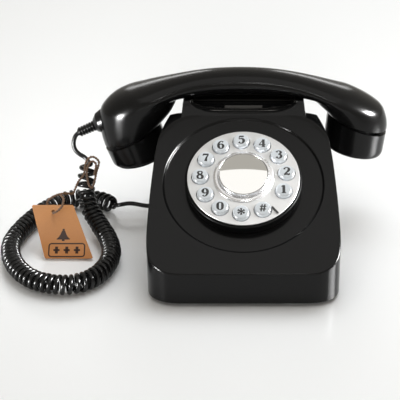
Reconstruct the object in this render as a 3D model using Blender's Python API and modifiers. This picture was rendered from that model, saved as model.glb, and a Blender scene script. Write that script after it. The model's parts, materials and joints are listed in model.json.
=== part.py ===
"""Desk telephone with a ring of push buttons, as separate parts. Metres, +Z up, front faces -Y."""

import math

import bmesh
import bpy
import numpy as np
from mathutils import Matrix, Vector

# Case
CASE_FRONT_Y = -0.104
CASE_REAR_Y = 0.104
CASE_BOTTOM_Z = 0.003
GAP = 0.0003

# Sloping face and its dial
FACE_FOOT_Y = -0.100
FACE_FOOT_Z = 0.031
FACE_SLOPE = math.radians(30.0)
DIAL_UP_SLOPE = 0.0800
WELL_RADIUS = 0.065
WELL_DEPTH = 0.0015
HOUSING_RADIUS = 0.047
HOUSING_TOP = 0.0070
PLATE_RADIUS = 0.045
PLATE_THICKNESS = 0.0012
BUTTON_RADIUS = 0.00665
BUTTON_HOLE_RADIUS = 0.0070
BUTTON_FLANGE_RADIUS = 0.0074
BUTTON_RING_RADIUS = 0.0346
BUTTON_FIRST_ANGLE = -23.0
BUTTON_STEP_ANGLE = 29.0
BUTTON_NAMES = ("1", "2", "3", "4", "5", "6", "7", "8", "9", "0", "star", "hash")
BEZEL_RADIUS = 0.0206
MIRROR_RADIUS = 0.0192

# Cradle
HANDSET_Y = 0.058
CRADLE_HALF_WIDTH = 0.0525
FORK_WIDTH = 0.0070
FORK_X = CRADLE_HALF_WIDTH - FORK_WIDTH / 2
HORN_TOP_Z = 0.1147
VALLEY_Z = 0.1110
TROUGH_Z = 0.0980
KEY_HALF_WIDTH = 0.0160
PIN_RADIUS = 0.0016

# Handset: inner and outer edge of each section as (x, z), then its half width along Y
HANDSET_SECTIONS = (
    ((-0.0722, 0.0869), (-0.1198, 0.0639), 0.0264),
    ((-0.0668, 0.0925), (-0.1228, 0.0760), 0.0272),
    ((-0.0620, 0.0985), (-0.1238, 0.0870), 0.0274),
    ((-0.0590, 0.1040), (-0.1231, 0.0980), 0.0272),
    ((-0.0572, 0.1080), (-0.1187, 0.1056), 0.0266),
    ((-0.0560, 0.1100), (-0.1114, 0.1123), 0.0257),
    ((-0.0545, 0.1109), (-0.1022, 0.1170), 0.0245),
    ((-0.0528, 0.1113), (-0.0915, 0.1202), 0.0230),
    ((-0.0508, 0.1113), (-0.0800, 0.1235), 0.0213),
    ((-0.0484, 0.1113), (-0.0680, 0.1265), 0.0197),
    ((-0.0440, 0.1116), (-0.0555, 0.1293), 0.0184),
    ((-0.0360, 0.1123), (-0.0420, 0.1320), 0.0174),
    ((-0.0240, 0.1130), (-0.0270, 0.1341), 0.0168),
    ((-0.0120, 0.1132), (-0.0130, 0.1350), 0.0165),
    ((0.0000, 0.1133), (0.0000, 0.1352), 0.0165),
    ((0.0120, 0.1132), (0.0130, 0.1348), 0.0165),
    ((0.0240, 0.1130), (0.0270, 0.1335), 0.0168),
    ((0.0360, 0.1123), (0.0420, 0.1310), 0.0174),
    ((0.0440, 0.1116), (0.0560, 0.1279), 0.0184),
    ((0.0490, 0.1113), (0.0690, 0.1244), 0.0197),
    ((0.0518, 0.1113), (0.0820, 0.1206), 0.0213),
    ((0.0542, 0.1113), (0.0935, 0.1170), 0.0230),
    ((0.0565, 0.1108), (0.1040, 0.1118), 0.0245),
    ((0.0588, 0.1096), (0.1124, 0.1066), 0.0257),
    ((0.0612, 0.1076), (0.1190, 0.1010), 0.0264),
    ((0.0640, 0.1052), (0.1224, 0.0935), 0.0268),
    ((0.0676, 0.1020), (0.1238, 0.0862), 0.0270),
    ((0.0722, 0.0970), (0.1234, 0.0786), 0.0270),
)
# Caps: the same three values for each ring, from the seam down
MOUTH_CAP_SECTIONS = (
    ((-0.0721, 0.0866), (-0.1197, 0.0636), 0.0264),
    ((-0.0655, 0.0650), (-0.1150, 0.0515), 0.0256),
    ((-0.0660, 0.0622), (-0.1138, 0.0490), 0.0248),
    ((-0.0680, 0.0612), (-0.1115, 0.0494), 0.0226),
    ((-0.0680, 0.0590), (-0.1110, 0.0474), 0.0224),
    ((-0.0695, 0.0580), (-0.1095, 0.0472), 0.0208),
)
EAR_CAP_SECTIONS = (
    ((0.0721, 0.0967), (0.1233, 0.0783), 0.0270),
    ((0.0700, 0.0725), (0.1213, 0.0620), 0.0262),
    ((0.0702, 0.0695), (0.1206, 0.0595), 0.0256),
    ((0.0712, 0.0676), (0.1194, 0.0580), 0.0246),
    ((0.0740, 0.0662), (0.1166, 0.0577), 0.0217),
)

# Cord: the route of each stretch, and the tube that stands for it
COIL_RADIUS = 0.0080
LEAD_RADIUS = 0.0017
RELIEF_START = (-0.1236, 0.0853)
RELIEF_END = (-0.1423, 0.0766)
LEAD_ROUTE = (
    (-0.1428, 0.0580, 0.0764),
    (-0.1456, 0.0575, 0.0740),
    (-0.1474, 0.0565, 0.0700),
    (-0.1478, 0.0552, 0.0652),
    (-0.1462, 0.0537, 0.0610),
    (-0.1422, 0.0522, 0.0578),
    (-0.1362, 0.0508, 0.0549),
)
COIL_ROUTE = (
    (-0.1356, 0.0498, 0.0538),
    (-0.1362, 0.0440, 0.0425),
    (-0.1372, 0.0370, 0.0310),
    (-0.1335, 0.0260, 0.0195),
    (-0.1240, 0.0110, 0.0115),
    (-0.1140, -0.0110, 0.0086),
    (-0.1090, -0.0360, 0.0084),
    (-0.1130, -0.0620, 0.0084),
    (-0.1260, -0.0800, 0.0084),
    (-0.1450, -0.0850, 0.0084),
    (-0.1680, -0.0760, 0.0084),
    (-0.1860, -0.0520, 0.0084),
    (-0.1940, -0.0210, 0.0084),
    (-0.1890, 0.0100, 0.0084),
    (-0.1775, 0.0380, 0.0084),
    (-0.1630, 0.0580, 0.0084),
    (-0.1470, 0.0660, 0.0084),
    (-0.1300, 0.0620, 0.0084),
    (-0.1130, 0.0510, 0.0084),
)
BASE_LEAD_ROUTE = (
    (-0.1120, 0.0500, 0.0092),
    (-0.1085, 0.0484, 0.0108),
    (-0.1000, 0.0490, 0.0118),
    (-0.0880, 0.0485, 0.0098),
    (-0.0760, 0.0468, 0.0100),
    (-0.0653, 0.0447, 0.0115),
)

GLAND_TURN = math.radians(-11.8)
GLAND_PLACE = (Matrix.Translation((-0.0584, 0.0432, 0.0115)) @ Matrix.Rotation(GLAND_TURN, 4, "Z")
               @ Matrix.Rotation(-math.pi / 2, 4, "Y"))

# Tag: its outline in its own plane, and the string's route
TAG_THICKNESS = 0.0018
TAG_CENTRE = (-0.1520, -0.0148, 0.0178)
TAG_LEAN = math.radians(45.0)
TAG_OUTLINE = (
    (-0.0120, -0.0232), (0.0258, -0.0232), (0.0268, -0.0222), (0.0090, 0.0222),
    (0.0080, 0.0232), (-0.0250, 0.0232), (-0.0260, 0.0222), (-0.0132, -0.0222),
)
TAG_HOLE = (-0.0078, 0.0172)
STRING_RADIUS = 0.0007
# From a free end through the tag's hole, over to the hanging coil, and a loose knot round the coil's top
STRING_ROUTE = (
    (-0.1542, 0.0060, 0.0419), (-0.1510, 0.0010, 0.0402), (-0.1518, -0.0050, 0.0369),
    (-0.1550, -0.0082, 0.0341), (-0.1585, -0.0070, 0.0318), (-0.1598, -0.0036, 0.0300),
    (-0.1604, 0.0006, 0.0284), (-0.1640, 0.0038, 0.0300), (-0.1662, 0.0065, 0.0335),
    (-0.1640, 0.0098, 0.0362), (-0.1577, 0.0150, 0.0375), (-0.1512, 0.0220, 0.0350),
    (-0.1473, 0.0275, 0.0320), (-0.1457, 0.0306, 0.0345), (-0.1425, 0.0335, 0.0410),
    (-0.1378, 0.0350, 0.0470), (-0.1360, 0.0385, 0.0560), (-0.1325, 0.0402, 0.0605),
    (-0.1285, 0.0408, 0.0605), (-0.1250, 0.0415, 0.0555), (-0.1270, 0.0380, 0.0480),
    (-0.1290, 0.0330, 0.0400), (-0.1312, 0.0310, 0.0362), (-0.1340, 0.0318, 0.0400),
    (-0.1350, 0.0345, 0.0510), (-0.1312, 0.0372, 0.0580), (-0.1272, 0.0382, 0.0550),
    (-0.1288, 0.0345, 0.0465),
)


def clear_scene():
    for item in list(bpy.data.objects):
        bpy.data.objects.remove(item, do_unlink=True)


def make_collection(name):
    collection = bpy.data.collections.new(name)
    bpy.context.scene.collection.children.link(collection)
    return collection


def material(name, colour, metallic, roughness):
    made = bpy.data.materials.new(name)
    made.use_nodes = True
    shader = made.node_tree.nodes["Principled BSDF"]
    shader.inputs["Base Color"].default_value = (colour[0], colour[1], colour[2], 1.0)
    shader.inputs["Metallic"].default_value = metallic
    shader.inputs["Roughness"].default_value = roughness
    made.diffuse_color = (colour[0], colour[1], colour[2], 1.0)
    return made


clear_scene()
PARTS = make_collection("desk_telephone")
CUTTERS = make_collection("desk_telephone_cutters")
GLOSS_BLACK = ((0.018, 0.018, 0.019), 0.0, 0.12)
STEEL = ((0.62, 0.62, 0.63), 1.0, 0.35)
BRASS = ((0.80, 0.58, 0.25), 1.0, 0.30)
RUBBER = ((0.03, 0.03, 0.03), 0.0, 0.75)
WHITE = ((0.82, 0.84, 0.88), 0.0, 0.35)
GREEN = ((0.03, 0.20, 0.08), 0.0, 0.50)


def new_object(name, mesh, look=None, smooth=True):
    item = bpy.data.objects.new(name, mesh)
    if look is None:
        CUTTERS.objects.link(item)
        item.hide_render = True
        item.display_type = "WIRE"
    else:
        PARTS.objects.link(item)
        mesh.materials.append(material(name, look[0], look[1], look[2]))
        if smooth:
            mesh.shade_smooth()
            mesh.set_sharp_from_angle(angle=math.radians(35.0))
    return item


def mesh_from(name, build):
    work = bmesh.new()
    build(work)
    bmesh.ops.remove_doubles(work, verts=work.verts, dist=1e-7)
    bmesh.ops.recalc_face_normals(work, faces=work.faces)
    mesh = bpy.data.meshes.new(name)
    work.to_mesh(mesh)
    work.free()
    return mesh


def box(name, low, high, look=None, bevel=0.0):
    """A block between two corners, placed at its own centre."""
    size = Vector(high) - Vector(low)
    centre = (Vector(high) + Vector(low)) / 2

    def build(work):
        bmesh.ops.create_cube(work, size=1.0)
        bmesh.ops.scale(work, vec=size, verts=work.verts)

    item = new_object(name, mesh_from(name, build), look)
    item.location = centre
    if bevel > 0.0:
        add_bevel(item, bevel, 2)
    return item


def turned(name, outline, look=None, steps=32):
    """A solid turned about Z from (radius, height) points; a level end at the axis becomes one flat face."""
    flat_start = outline[0][0] == 0.0 and outline[0][1] == outline[1][1]
    flat_end = outline[-1][0] == 0.0 and outline[-1][1] == outline[-2][1]
    kept = list(outline)[1:] if flat_start else list(outline)
    kept = kept[:-1] if flat_end else kept

    def build(work):
        rings = []
        for radius, height in kept:
            if radius == 0.0:
                rings.append([work.verts.new((0.0, 0.0, height))])
            else:
                angles = [2 * math.pi * k / steps for k in range(steps)]
                rings.append([work.verts.new((radius * math.cos(a), radius * math.sin(a), height)) for a in angles])
        for first, second in zip(rings, rings[1:]):
            join_rings(work, first, second)
        if flat_start:
            work.faces.new(rings[0])
        if flat_end:
            work.faces.new(rings[-1])

    return new_object(name, mesh_from(name, build), look)


def join_rings(work, first, second):
    count = max(len(first), len(second))
    for k in range(count):
        after = (k + 1) % count
        if len(first) == 1:
            work.faces.new((first[0], second[k], second[after]))
        elif len(second) == 1:
            work.faces.new((first[k], second[0], first[after]))
        else:
            work.faces.new((first[k], second[k], second[after], first[after]))


def extruded(name, outline, axis, low, high, look=None):
    """A flat outline carried along one axis; the outline is in the other two axes, in order."""

    def place(point, along):
        if axis == "X":
            return (along, point[0], point[1])
        if axis == "Y":
            return (point[0], along, point[1])
        return (point[0], point[1], along)

    def build(work):
        first = [work.verts.new(place(point, low)) for point in outline]
        second = [work.verts.new(place(point, high)) for point in outline]
        work.faces.new(first)
        work.faces.new(list(reversed(second)))
        join_rings(work, first, second)

    return new_object(name, mesh_from(name, build), look)


def add_bevel(item, width, segments, angle=40.0):
    bevel = item.modifiers.new("round", "BEVEL")
    bevel.width = width
    bevel.segments = segments
    bevel.limit_method = "ANGLE"
    bevel.angle_limit = math.radians(angle)
    bevel.use_clamp_overlap = True


def combine(item, other, operation):
    step = item.modifiers.new(operation.lower(), "BOOLEAN")
    step.operation = operation
    step.solver = "EXACT"
    step.object = other


def cut(item, other):
    combine(item, other, "DIFFERENCE")


def join(item, other):
    combine(item, other, "UNION")


def face_frame():
    """The dial's own axes: x to the right, y up the slope, z out of the face."""
    y = FACE_FOOT_Y + DIAL_UP_SLOPE * math.cos(FACE_SLOPE)
    z = FACE_FOOT_Z + DIAL_UP_SLOPE * math.sin(FACE_SLOPE)
    return Matrix.Translation((0.0, y, z)) @ Matrix.Rotation(FACE_SLOPE, 4, "X")


def on_face(item, x=0.0, y=0.0, height=0.0):
    item.matrix_world = face_frame() @ Matrix.Translation((x, y, height))
    return item


def smooth_route(points, count):
    """Evenly spaced points on a smooth curve through the given ones."""
    route = np.array(points, dtype=float)
    ahead = np.vstack([2 * route[0] - route[1], route, 2 * route[-1] - route[-2]])
    fine = []
    for k in range(len(route) - 1):
        p0, p1, p2, p3 = ahead[k], ahead[k + 1], ahead[k + 2], ahead[k + 3]
        for t in np.linspace(0.0, 1.0, 24, endpoint=False):
            middle = 2 * p1 + (p2 - p0) * t + (2 * p0 - 5 * p1 + 4 * p2 - p3) * t * t
            fine.append(0.5 * (middle + (3 * p1 - p0 - 3 * p2 + p3) * t ** 3))
    fine.append(route[-1])
    fine = np.array(fine)
    travelled = np.concatenate([[0.0], np.cumsum(np.linalg.norm(np.diff(fine, axis=0), axis=1))])
    wanted = np.linspace(0.0, travelled[-1], count)
    return np.stack([np.interp(wanted, travelled, fine[:, axis]) for axis in range(3)], axis=1)


def tube(name, points, radius, look, count, resolution=2):
    """A round tube through the points, with flat ends."""
    curve = bpy.data.curves.new(name, "CURVE")
    curve.dimensions = "3D"
    curve.bevel_depth = radius
    curve.bevel_resolution = resolution
    curve.use_fill_caps = True
    line = curve.splines.new("POLY")
    places = smooth_route(points, count)
    line.points.add(len(places) - 1)
    for point, place in zip(line.points, places):
        point.co = (place[0], place[1], place[2], 1.0)
    made = bpy.data.objects.new(name + "_line", curve)
    CUTTERS.objects.link(made)
    bpy.context.view_layer.update()
    depsgraph = bpy.context.evaluated_depsgraph_get()
    mesh = bpy.data.meshes.new_from_object(made.evaluated_get(depsgraph))
    bpy.data.objects.remove(made, do_unlink=True)
    work = bmesh.new()
    work.from_mesh(mesh)
    bmesh.ops.remove_doubles(work, verts=work.verts, dist=1e-6)
    bmesh.ops.recalc_face_normals(work, faces=work.faces)
    work.to_mesh(mesh)
    work.free()
    mesh.name = name
    mesh.materials.clear()
    return new_object(name, mesh, look)


def section_ring(work, inner, outer, half_width, count, shrink=0.0):
    """One oval ring of the handset, in the plane through its inner and outer edges and the Y axis."""
    inner = Vector((inner[0], 0.0, inner[1]))
    outer = Vector((outer[0], 0.0, outer[1]))
    centre = (inner + outer) / 2
    reach = (outer - inner) / 2
    reach = reach * ((reach.length - shrink) / reach.length)
    wide = half_width - shrink
    ring = []
    for k in range(count):
        angle = 2 * math.pi * k / count
        point = centre + reach * math.cos(angle) + Vector((0.0, wide * math.sin(angle) + HANDSET_Y, 0.0))
        ring.append(work.verts.new(point))
    return ring


def lofted(name, sections, look=None, count=24, shrink=0.0):
    def build(work):
        rings = [section_ring(work, inner, outer, wide, count, shrink) for inner, outer, wide in sections]
        work.faces.new(rings[0])
        work.faces.new(list(reversed(rings[-1])))
        for first, second in zip(rings, rings[1:]):
            join_rings(work, first, second)

    return new_object(name, mesh_from(name, build), look)


def section_frame(section):
    """Axes of a section: origin at its centre, z out of the handset, x towards its outer edge."""
    inner = Vector((section[0][0], HANDSET_Y, section[0][1]))
    outer = Vector((section[1][0], HANDSET_Y, section[1][1]))
    x_axis = (outer - inner).normalized()
    y_axis = Vector((0.0, 1.0, 0.0))
    z_axis = x_axis.cross(y_axis).normalized()
    if z_axis.z > 0.0:
        z_axis = -z_axis
        y_axis = -y_axis
    frame = Matrix((x_axis, y_axis, z_axis)).transposed().to_4x4()
    frame.translation = (inner + outer) / 2
    return frame


def mirrored(half_outline):
    """Close an outline given for x >= 0, first point and last point on either side of the axis."""
    return [(x, y) for x, y in half_outline] + [(-x, y) for x, y in reversed(half_outline)]


# ---------------------------------------------------------------- case
SIDE_OUTLINE = (
    (CASE_FRONT_Y, CASE_BOTTOM_Z), (CASE_FRONT_Y + 0.0012, 0.0270), (CASE_FRONT_Y + 0.0022, 0.0297),
    (FACE_FOOT_Y + 0.0006, FACE_FOOT_Z + 0.0007), (0.0285, 0.1052), (0.0320, 0.1062), (0.0375, 0.1040),
    (0.0620, 0.0845), (0.0930, 0.0600), (0.1010, 0.0510), (CASE_REAR_Y, 0.0420), (CASE_REAR_Y, CASE_BOTTOM_Z),
)
PLAN_HALF = (
    (0.0500, -0.1040), (0.0600, -0.1025), (0.0690, -0.0975), (0.0740, -0.0900), (0.0758, -0.0800),
    (0.0760, -0.0650), (0.0750, -0.0400), (0.0728, -0.0100), (0.0700, 0.0100), (0.0665, 0.0270),
    (0.0630, 0.0400), (0.0605, 0.0520), (0.0588, 0.0660), (0.0575, 0.0820), (0.0555, 0.0930),
    (0.0500, 0.1010), (0.0420, 0.1040),
)
FRONT_HALF = (
    (0.0780, 0.0000), (0.0780, 0.0830), (0.0748, 0.0890), (0.0700, 0.0945), (0.0640, 0.0992),
    (0.0570, 0.1028), (0.0480, 0.1052), (0.0300, 0.1075),
)
INNER_SIDE = (
    (-0.1005, -0.0100), (-0.1000, 0.0240), (-0.0965, 0.0292), (0.0290, 0.1012), (0.0320, 0.1020),
    (0.0350, 0.1010), (0.0600, 0.0810), (0.0905, 0.0570), (0.0975, 0.0490), (0.1005, 0.0410), (0.1005, -0.0100),
)
INNER_PLAN_HALF = (
    (0.0495, -0.1010), (0.0585, -0.0997), (0.0665, -0.0953), (0.0711, -0.0885), (0.0727, -0.0795),
    (0.0730, -0.0650), (0.0720, -0.0400), (0.0698, -0.0100), (0.0670, 0.0100), (0.0635, 0.0270),
    (0.0600, 0.0400), (0.0575, 0.0520), (0.0558, 0.0660), (0.0545, 0.0815), (0.0527, 0.0910),
    (0.0480, 0.0980), (0.0410, 0.1005),
)
INNER_FRONT_HALF = (
    (0.0750, -0.0200), (0.0750, 0.0800), (0.0720, 0.0860), (0.0675, 0.0913), (0.0620, 0.0955),
    (0.0555, 0.0990), (0.0470, 0.1015), (0.0300, 0.1040),
)


def build_case():
    case = extruded("case", SIDE_OUTLINE, "X", -0.09, 0.09, GLOSS_BLACK)
    plan = extruded("case_plan", mirrored(PLAN_HALF), "Z", -0.02, 0.15)
    combine(case, plan, "INTERSECT")
    front = extruded("case_front", mirrored(FRONT_HALF), "Y", -0.12, 0.12)
    combine(case, front, "INTERSECT")
    cradle_outline = (
        (0.0200, 0.0850), (0.0280, 0.1047), (0.0340, 0.1105), (0.0362, 0.1138), (0.0380, HORN_TOP_Z),
        (0.0398, 0.1138), (0.0430, 0.1122), (0.0480, 0.1113), (HANDSET_Y, VALLEY_Z), (0.0680, 0.1113),
        (0.0730, 0.1122), (0.0762, 0.1138), (0.0780, HORN_TOP_Z), (0.0798, 0.1138), (0.0825, 0.1080),
        (0.0850, 0.0850), (0.0860, 0.0600), (0.0500, 0.0500),
    )
    cradle = extruded("case_cradle", cradle_outline, "X", -CRADLE_HALF_WIDTH, CRADLE_HALF_WIDTH)
    join(case, cradle)
    dip = (
        (-0.0460, 0.1300), (-0.0455, 0.1130), (-0.0400, 0.1098), (-0.0320, 0.1075), (-0.0180, 0.1062),
        (0.0000, 0.1057), (0.0180, 0.1062), (0.0320, 0.1075), (0.0400, 0.1098), (0.0455, 0.1130),
        (0.0460, 0.1300),
    )
    saddle = extruded("case_saddle_cut", dip, "Y", 0.0100, 0.1000)
    cut(case, saddle)
    inner = extruded("case_hollow", INNER_SIDE, "X", -0.09, 0.09)
    inner_plan = extruded("case_hollow_plan", mirrored(INNER_PLAN_HALF), "Z", -0.03, 0.15)
    combine(inner, inner_plan, "INTERSECT")
    inner_front = extruded("case_hollow_front", mirrored(INNER_FRONT_HALF), "Y", -0.12, 0.12)
    combine(inner, inner_front, "INTERSECT")
    cradle_inner = (
        (0.0235, 0.0830), (0.0310, 0.1015), (0.0360, 0.1030), (0.0385, 0.0950), (0.0775, 0.0950),
        (0.0800, 0.1030), (0.0815, 0.0840), (0.0825, 0.0500), (0.0500, 0.0400),
    )
    hollow_cradle = extruded("case_hollow_cradle", cradle_inner, "X", -0.0440, 0.0440)
    join(inner, hollow_cradle)
    join(inner, box("case_hollow_yoke", (-0.0513, 0.0530, 0.0500), (0.0513, 0.0630, 0.0940)))
    cut(case, inner)
    trough_outline = (
        (0.0415, 0.1200), (0.0415, 0.1015), (0.0430, 0.0990), (0.0455, TROUGH_Z), (0.0705, TROUGH_Z),
        (0.0730, 0.0990), (0.0745, 0.1015), (0.0745, 0.1200),
    )
    trough = extruded("case_trough_cut", trough_outline, "X", -0.0430, 0.0430)
    cut(case, trough)
    for name, low, high in (
        ("case_key_slot", (-0.0164, 0.0428, 0.0900), (0.0164, 0.0502, 0.1100)),
        ("case_line_slot", (0.0192, 0.0980, 0.0090), (0.0328, 0.1080, 0.0210)),
        ("case_switch_slot", (-0.0350, 0.0980, 0.0125), (-0.0230, 0.1080, 0.0175)),
    ):
        cut(case, box(name, low, high))
    for side in (-1, 1):
        hole = turned("case_pin_hole", ((0.0, 0.05), (0.0022, 0.05), (0.0022, 0.13), (0.0, 0.13)), steps=16)
        hole.location = (side * FORK_X, HANDSET_Y, 0.0)
        cut(case, hole)
    gland_hole = turned("case_gland_hole", ((0.0, -0.012), (0.0042, -0.012), (0.0042, 0.012), (0.0, 0.012)), steps=20)
    gland_hole.matrix_world = GLAND_PLACE
    cut(case, gland_hole)
    well = turned("case_well", ((0.0, -WELL_DEPTH), (WELL_RADIUS - 0.0015, -WELL_DEPTH), (WELL_RADIUS, 0.0002),
                                (WELL_RADIUS, 0.03), (0.0, 0.03)), steps=48)
    cut(case, on_face(well))
    opening = turned("case_dial_opening", ((0.0, -0.02), (0.040, -0.02), (0.040, 0.02), (0.0, 0.02)), steps=48)
    cut(case, on_face(opening))
    add_bevel(case, 0.0010, 1, 55.0)
    return case


build_case()

# ---------------------------------------------------------------- base
base_plan = [(x - math.copysign(0.0007, x), y * 0.9900) for x, y in mirrored(INNER_PLAN_HALF)]
base = extruded("base_plate", base_plan, "Z", 0.0032, 0.0057, STEEL)
for x, y in ((-0.050, -0.055), (0.050, -0.055), (-0.050, 0.008), (0.050, 0.008)):
    post = turned("base_post", ((0.0, 0.0045), (0.0030, 0.0045), (0.0030, 0.0137), (0.0, 0.0137)), steps=12)
    post.location = (x, y, 0.0)
    join(base, post)

FOOT_PLACES = ((-0.058, -0.082), (0.058, -0.082), (-0.044, 0.088), (0.044, 0.088))
for number, (x, y) in enumerate(FOOT_PLACES):
    foot = turned("foot_%d" % (number + 1), ((0.0, 0.0), (0.0066, 0.0), (0.0072, 0.0006), (0.0072, 0.0029), (0.0, 0.0029)),
                  RUBBER, 16)
    foot.location = (x, y, 0.0)

SCREW_PLACES = ((-0.040, -0.092), (0.040, -0.092), (-0.034, 0.078), (0.034, 0.078))
SCREW_OUTLINE = ((0.0, 0.0012), (0.0008, 0.0012), (0.0010, 0.0006), (0.0026, 0.0006), (0.0032, 0.0016), (0.0032, 0.0031),
                 (0.0014, 0.0031), (0.0014, 0.0110), (0.0, 0.0110))
for number, (x, y) in enumerate(SCREW_PLACES):
    hole = turned("screw_hole", ((0.0, 0.0), (0.0016, 0.0), (0.0016, 0.01), (0.0, 0.01)), steps=12)
    hole.location = (x, y, 0.0)
    cut(base, hole)
    screw = turned("case_screw_%d" % (number + 1), SCREW_OUTLINE, STEEL, 8)
    screw.location = (x, y, 0.0)

# ---------------------------------------------------------------- dial
housing = turned("dial_housing", (
    (0.0, 0.0050), (0.0445, 0.0050), (0.0445, -0.0012), (0.0470, -0.0012), (0.0470, 0.0060), (0.0460, HOUSING_TOP),
    (0.0, HOUSING_TOP)), GLOSS_BLACK, 40)
on_face(housing)
plate_low = HOUSING_TOP + GAP
plate_high = plate_low + PLATE_THICKNESS
plate = turned("dial_plate", ((0.0, plate_low), (PLATE_RADIUS, plate_low), (PLATE_RADIUS, plate_high - 0.0003),
                              (PLATE_RADIUS - 0.0004, plate_high), (0.0, plate_high)), STEEL, 40)
on_face(plate)

BUTTON_OUTLINE = ((0.0, 0.0036), (BUTTON_FLANGE_RADIUS, 0.0036), (BUTTON_FLANGE_RADIUS, 0.0047),
                  (BUTTON_RADIUS, 0.0047), (BUTTON_RADIUS, 0.0101), (0.0058, 0.0110), (0.0, 0.0117))
for number, label in enumerate(BUTTON_NAMES):
    angle = math.radians(BUTTON_FIRST_ANGLE + BUTTON_STEP_ANGLE * number)
    x = BUTTON_RING_RADIUS * math.cos(angle)
    y = BUTTON_RING_RADIUS * math.sin(angle)
    hole = turned("button_hole", ((0.0, -0.01), (BUTTON_HOLE_RADIUS, -0.01), (BUTTON_HOLE_RADIUS, 0.02), (0.0, 0.02)),
                  steps=18)
    on_face(hole, x, y)
    cut(housing, hole)
    cut(plate, hole)
    on_face(turned("button_" + label, BUTTON_OUTLINE, WHITE, 18), x, y)

bezel_low = plate_high + GAP
on_face(turned("centre_bezel", ((0.0, bezel_low), (BEZEL_RADIUS, bezel_low), (BEZEL_RADIUS, 0.0128),
                                (0.0200, 0.0136), (0.0196, 0.0136), (0.0195, 0.0124), (0.0, 0.0124)), STEEL, 32))
on_face(turned("centre_disc", ((0.0, 0.0127), (MIRROR_RADIUS, 0.0127), (MIRROR_RADIUS, 0.0132), (0.0, 0.0134)),
               STEEL, 32))
stop = extruded("finger_stop", ((0.0222, -0.0288), (0.0268, -0.0348), (0.0276, -0.0342), (0.0229, -0.0283)), "Z",
                bezel_low, bezel_low + 0.0012, RUBBER)
on_face(stop)
on_face(turned("keypad_mat", ((0.0, 0.0008), (0.0436, 0.0008), (0.0436, 0.0014), (0.0, 0.0014)), RUBBER, 32))
board = turned("keypad_board", ((0.0, -0.0011), (0.0441, -0.0011), (0.0441, 0.0005), (0.0, 0.0005)), GREEN, 32)
on_face(board)

# ---------------------------------------------------------------- inside the case
main_board = box("main_board", (-0.055, -0.060, 0.0140), (0.055, 0.013, 0.0156), GREEN)
for number, (low, high) in enumerate((
    ((-0.030, -0.045, 0.0150), (-0.010, -0.035, 0.0190)), ((0.010, -0.030, 0.0150), (0.022, -0.015, 0.0240)),
    ((0.030, -0.050, 0.0150), (0.045, -0.040, 0.0200)), ((-0.045, -0.015, 0.0150), (-0.030, -0.002, 0.0230)),
)):
    join(main_board, box("board_piece_%d" % number, low, high))
box("ballast_weight", (-0.030, -0.0950, 0.0060), (0.030, -0.0640, 0.0200), STEEL, 0.001)

ringer_frame = box("ringer_frame", (-0.038, 0.024, 0.0060), (0.038, 0.074, 0.0080), STEEL)
join(ringer_frame, box("ringer_wall", (-0.009, 0.027, 0.0070), (0.009, 0.0290, 0.0300)))
for side, name in ((-1, "left"), (1, "right")):
    post = turned("gong_post", ((0.0, 0.0065), (0.0030, 0.0065), (0.0030, 0.0240), (0.0, 0.0240)), steps=14)
    post.location = (side * 0.0245, 0.054, 0.0)
    join(ringer_frame, post)
    gong = turned("gong_" + name, (
        (0.0, 0.0243), (0.0080, 0.0243), (0.0150, 0.0225), (0.0188, 0.0180), (0.0200, 0.0115), (0.0212, 0.0115),
        (0.0200, 0.0190), (0.0158, 0.0240), (0.0085, 0.0258), (0.0, 0.0260)), BRASS, 20)
    gong.location = (side * 0.0245, 0.054, 0.0)
    gong_screw = turned("gong_screw_" + name, ((0.0, 0.0263), (0.0035, 0.0263), (0.0035, 0.0280), (0.0025, 0.0290),
                                               (0.0, 0.0290)), STEEL, 14)
    gong_screw.location = (side * 0.0245, 0.054, 0.0)
post = turned("clapper_post", ((0.0, 0.0065), (0.0016, 0.0065), (0.0016, 0.0200), (0.0, 0.0200)), steps=12)
post.location = (0.0, 0.0365, 0.0)
join(ringer_frame, post)
coil = turned("ringer_coil", ((0.0, -0.009), (0.0078, -0.009), (0.0078, -0.0078), (0.0062, -0.0078), (0.0062, 0.0078),
                              (0.0078, 0.0078), (0.0078, 0.009), (0.0, 0.009)), BRASS, 20)
coil.matrix_world = Matrix.Translation((0.0, 0.0177, 0.0250)) @ Matrix.Rotation(math.pi / 2, 4, "X")
clapper = turned("clapper", ((0.0021, -0.0020), (0.0036, -0.0020), (0.0036, 0.0020), (0.0021, 0.0020),
                             (0.0021, -0.0020)), STEEL, 16)
clapper.location = (0.0, 0.0365, 0.0170)
arm = box("clapper_arm", (-0.0007, 0.0030, -0.0010), (0.0007, 0.0140, 0.0010))
arm.location = (0.0, 0.0365 + 0.0085, 0.0170)
join(clapper, arm)
hammer = turned("clapper_head", ((0.0, -0.0030), (0.0018, -0.0024), (0.0024, 0.0), (0.0018, 0.0024), (0.0, 0.0030)),
                steps=14)
hammer.location = (0.0, 0.0365 + 0.0150, 0.0170)
join(clapper, hammer)

# ---------------------------------------------------------------- hook switch
key = box("hook_key", (-KEY_HALF_WIDTH, 0.0431, 0.0850), (KEY_HALF_WIDTH, 0.0499, 0.1050), GLOSS_BLACK)
join(key, box("key_bridge", (-0.0055, 0.0470, 0.0855), (0.0055, 0.0610, 0.0895)))
join(key, box("key_foot", (0.0075, 0.0556, 0.0796), (0.0125, 0.0596, 0.0875)))
join(key, box("key_yoke", (-0.0508, 0.0555, 0.0860), (0.0508, 0.0605, 0.0890)))
for side in (-1, 1):
    pin = turned("key_pin", ((0.0, 0.0870), (PIN_RADIUS, 0.0870), (PIN_RADIUS, 0.1102), (0.0008, 0.1107), (0.0, 0.1107)),
                 steps=12)
    pin.location = (side * FORK_X, HANDSET_Y, 0.0)
    join(key, pin)
add_bevel(key, 0.0004, 1, 60.0)
bracket = box("switch_bracket", (-0.0160, 0.0640, 0.0400), (0.0160, 0.0660, 0.0700), STEEL)
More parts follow.
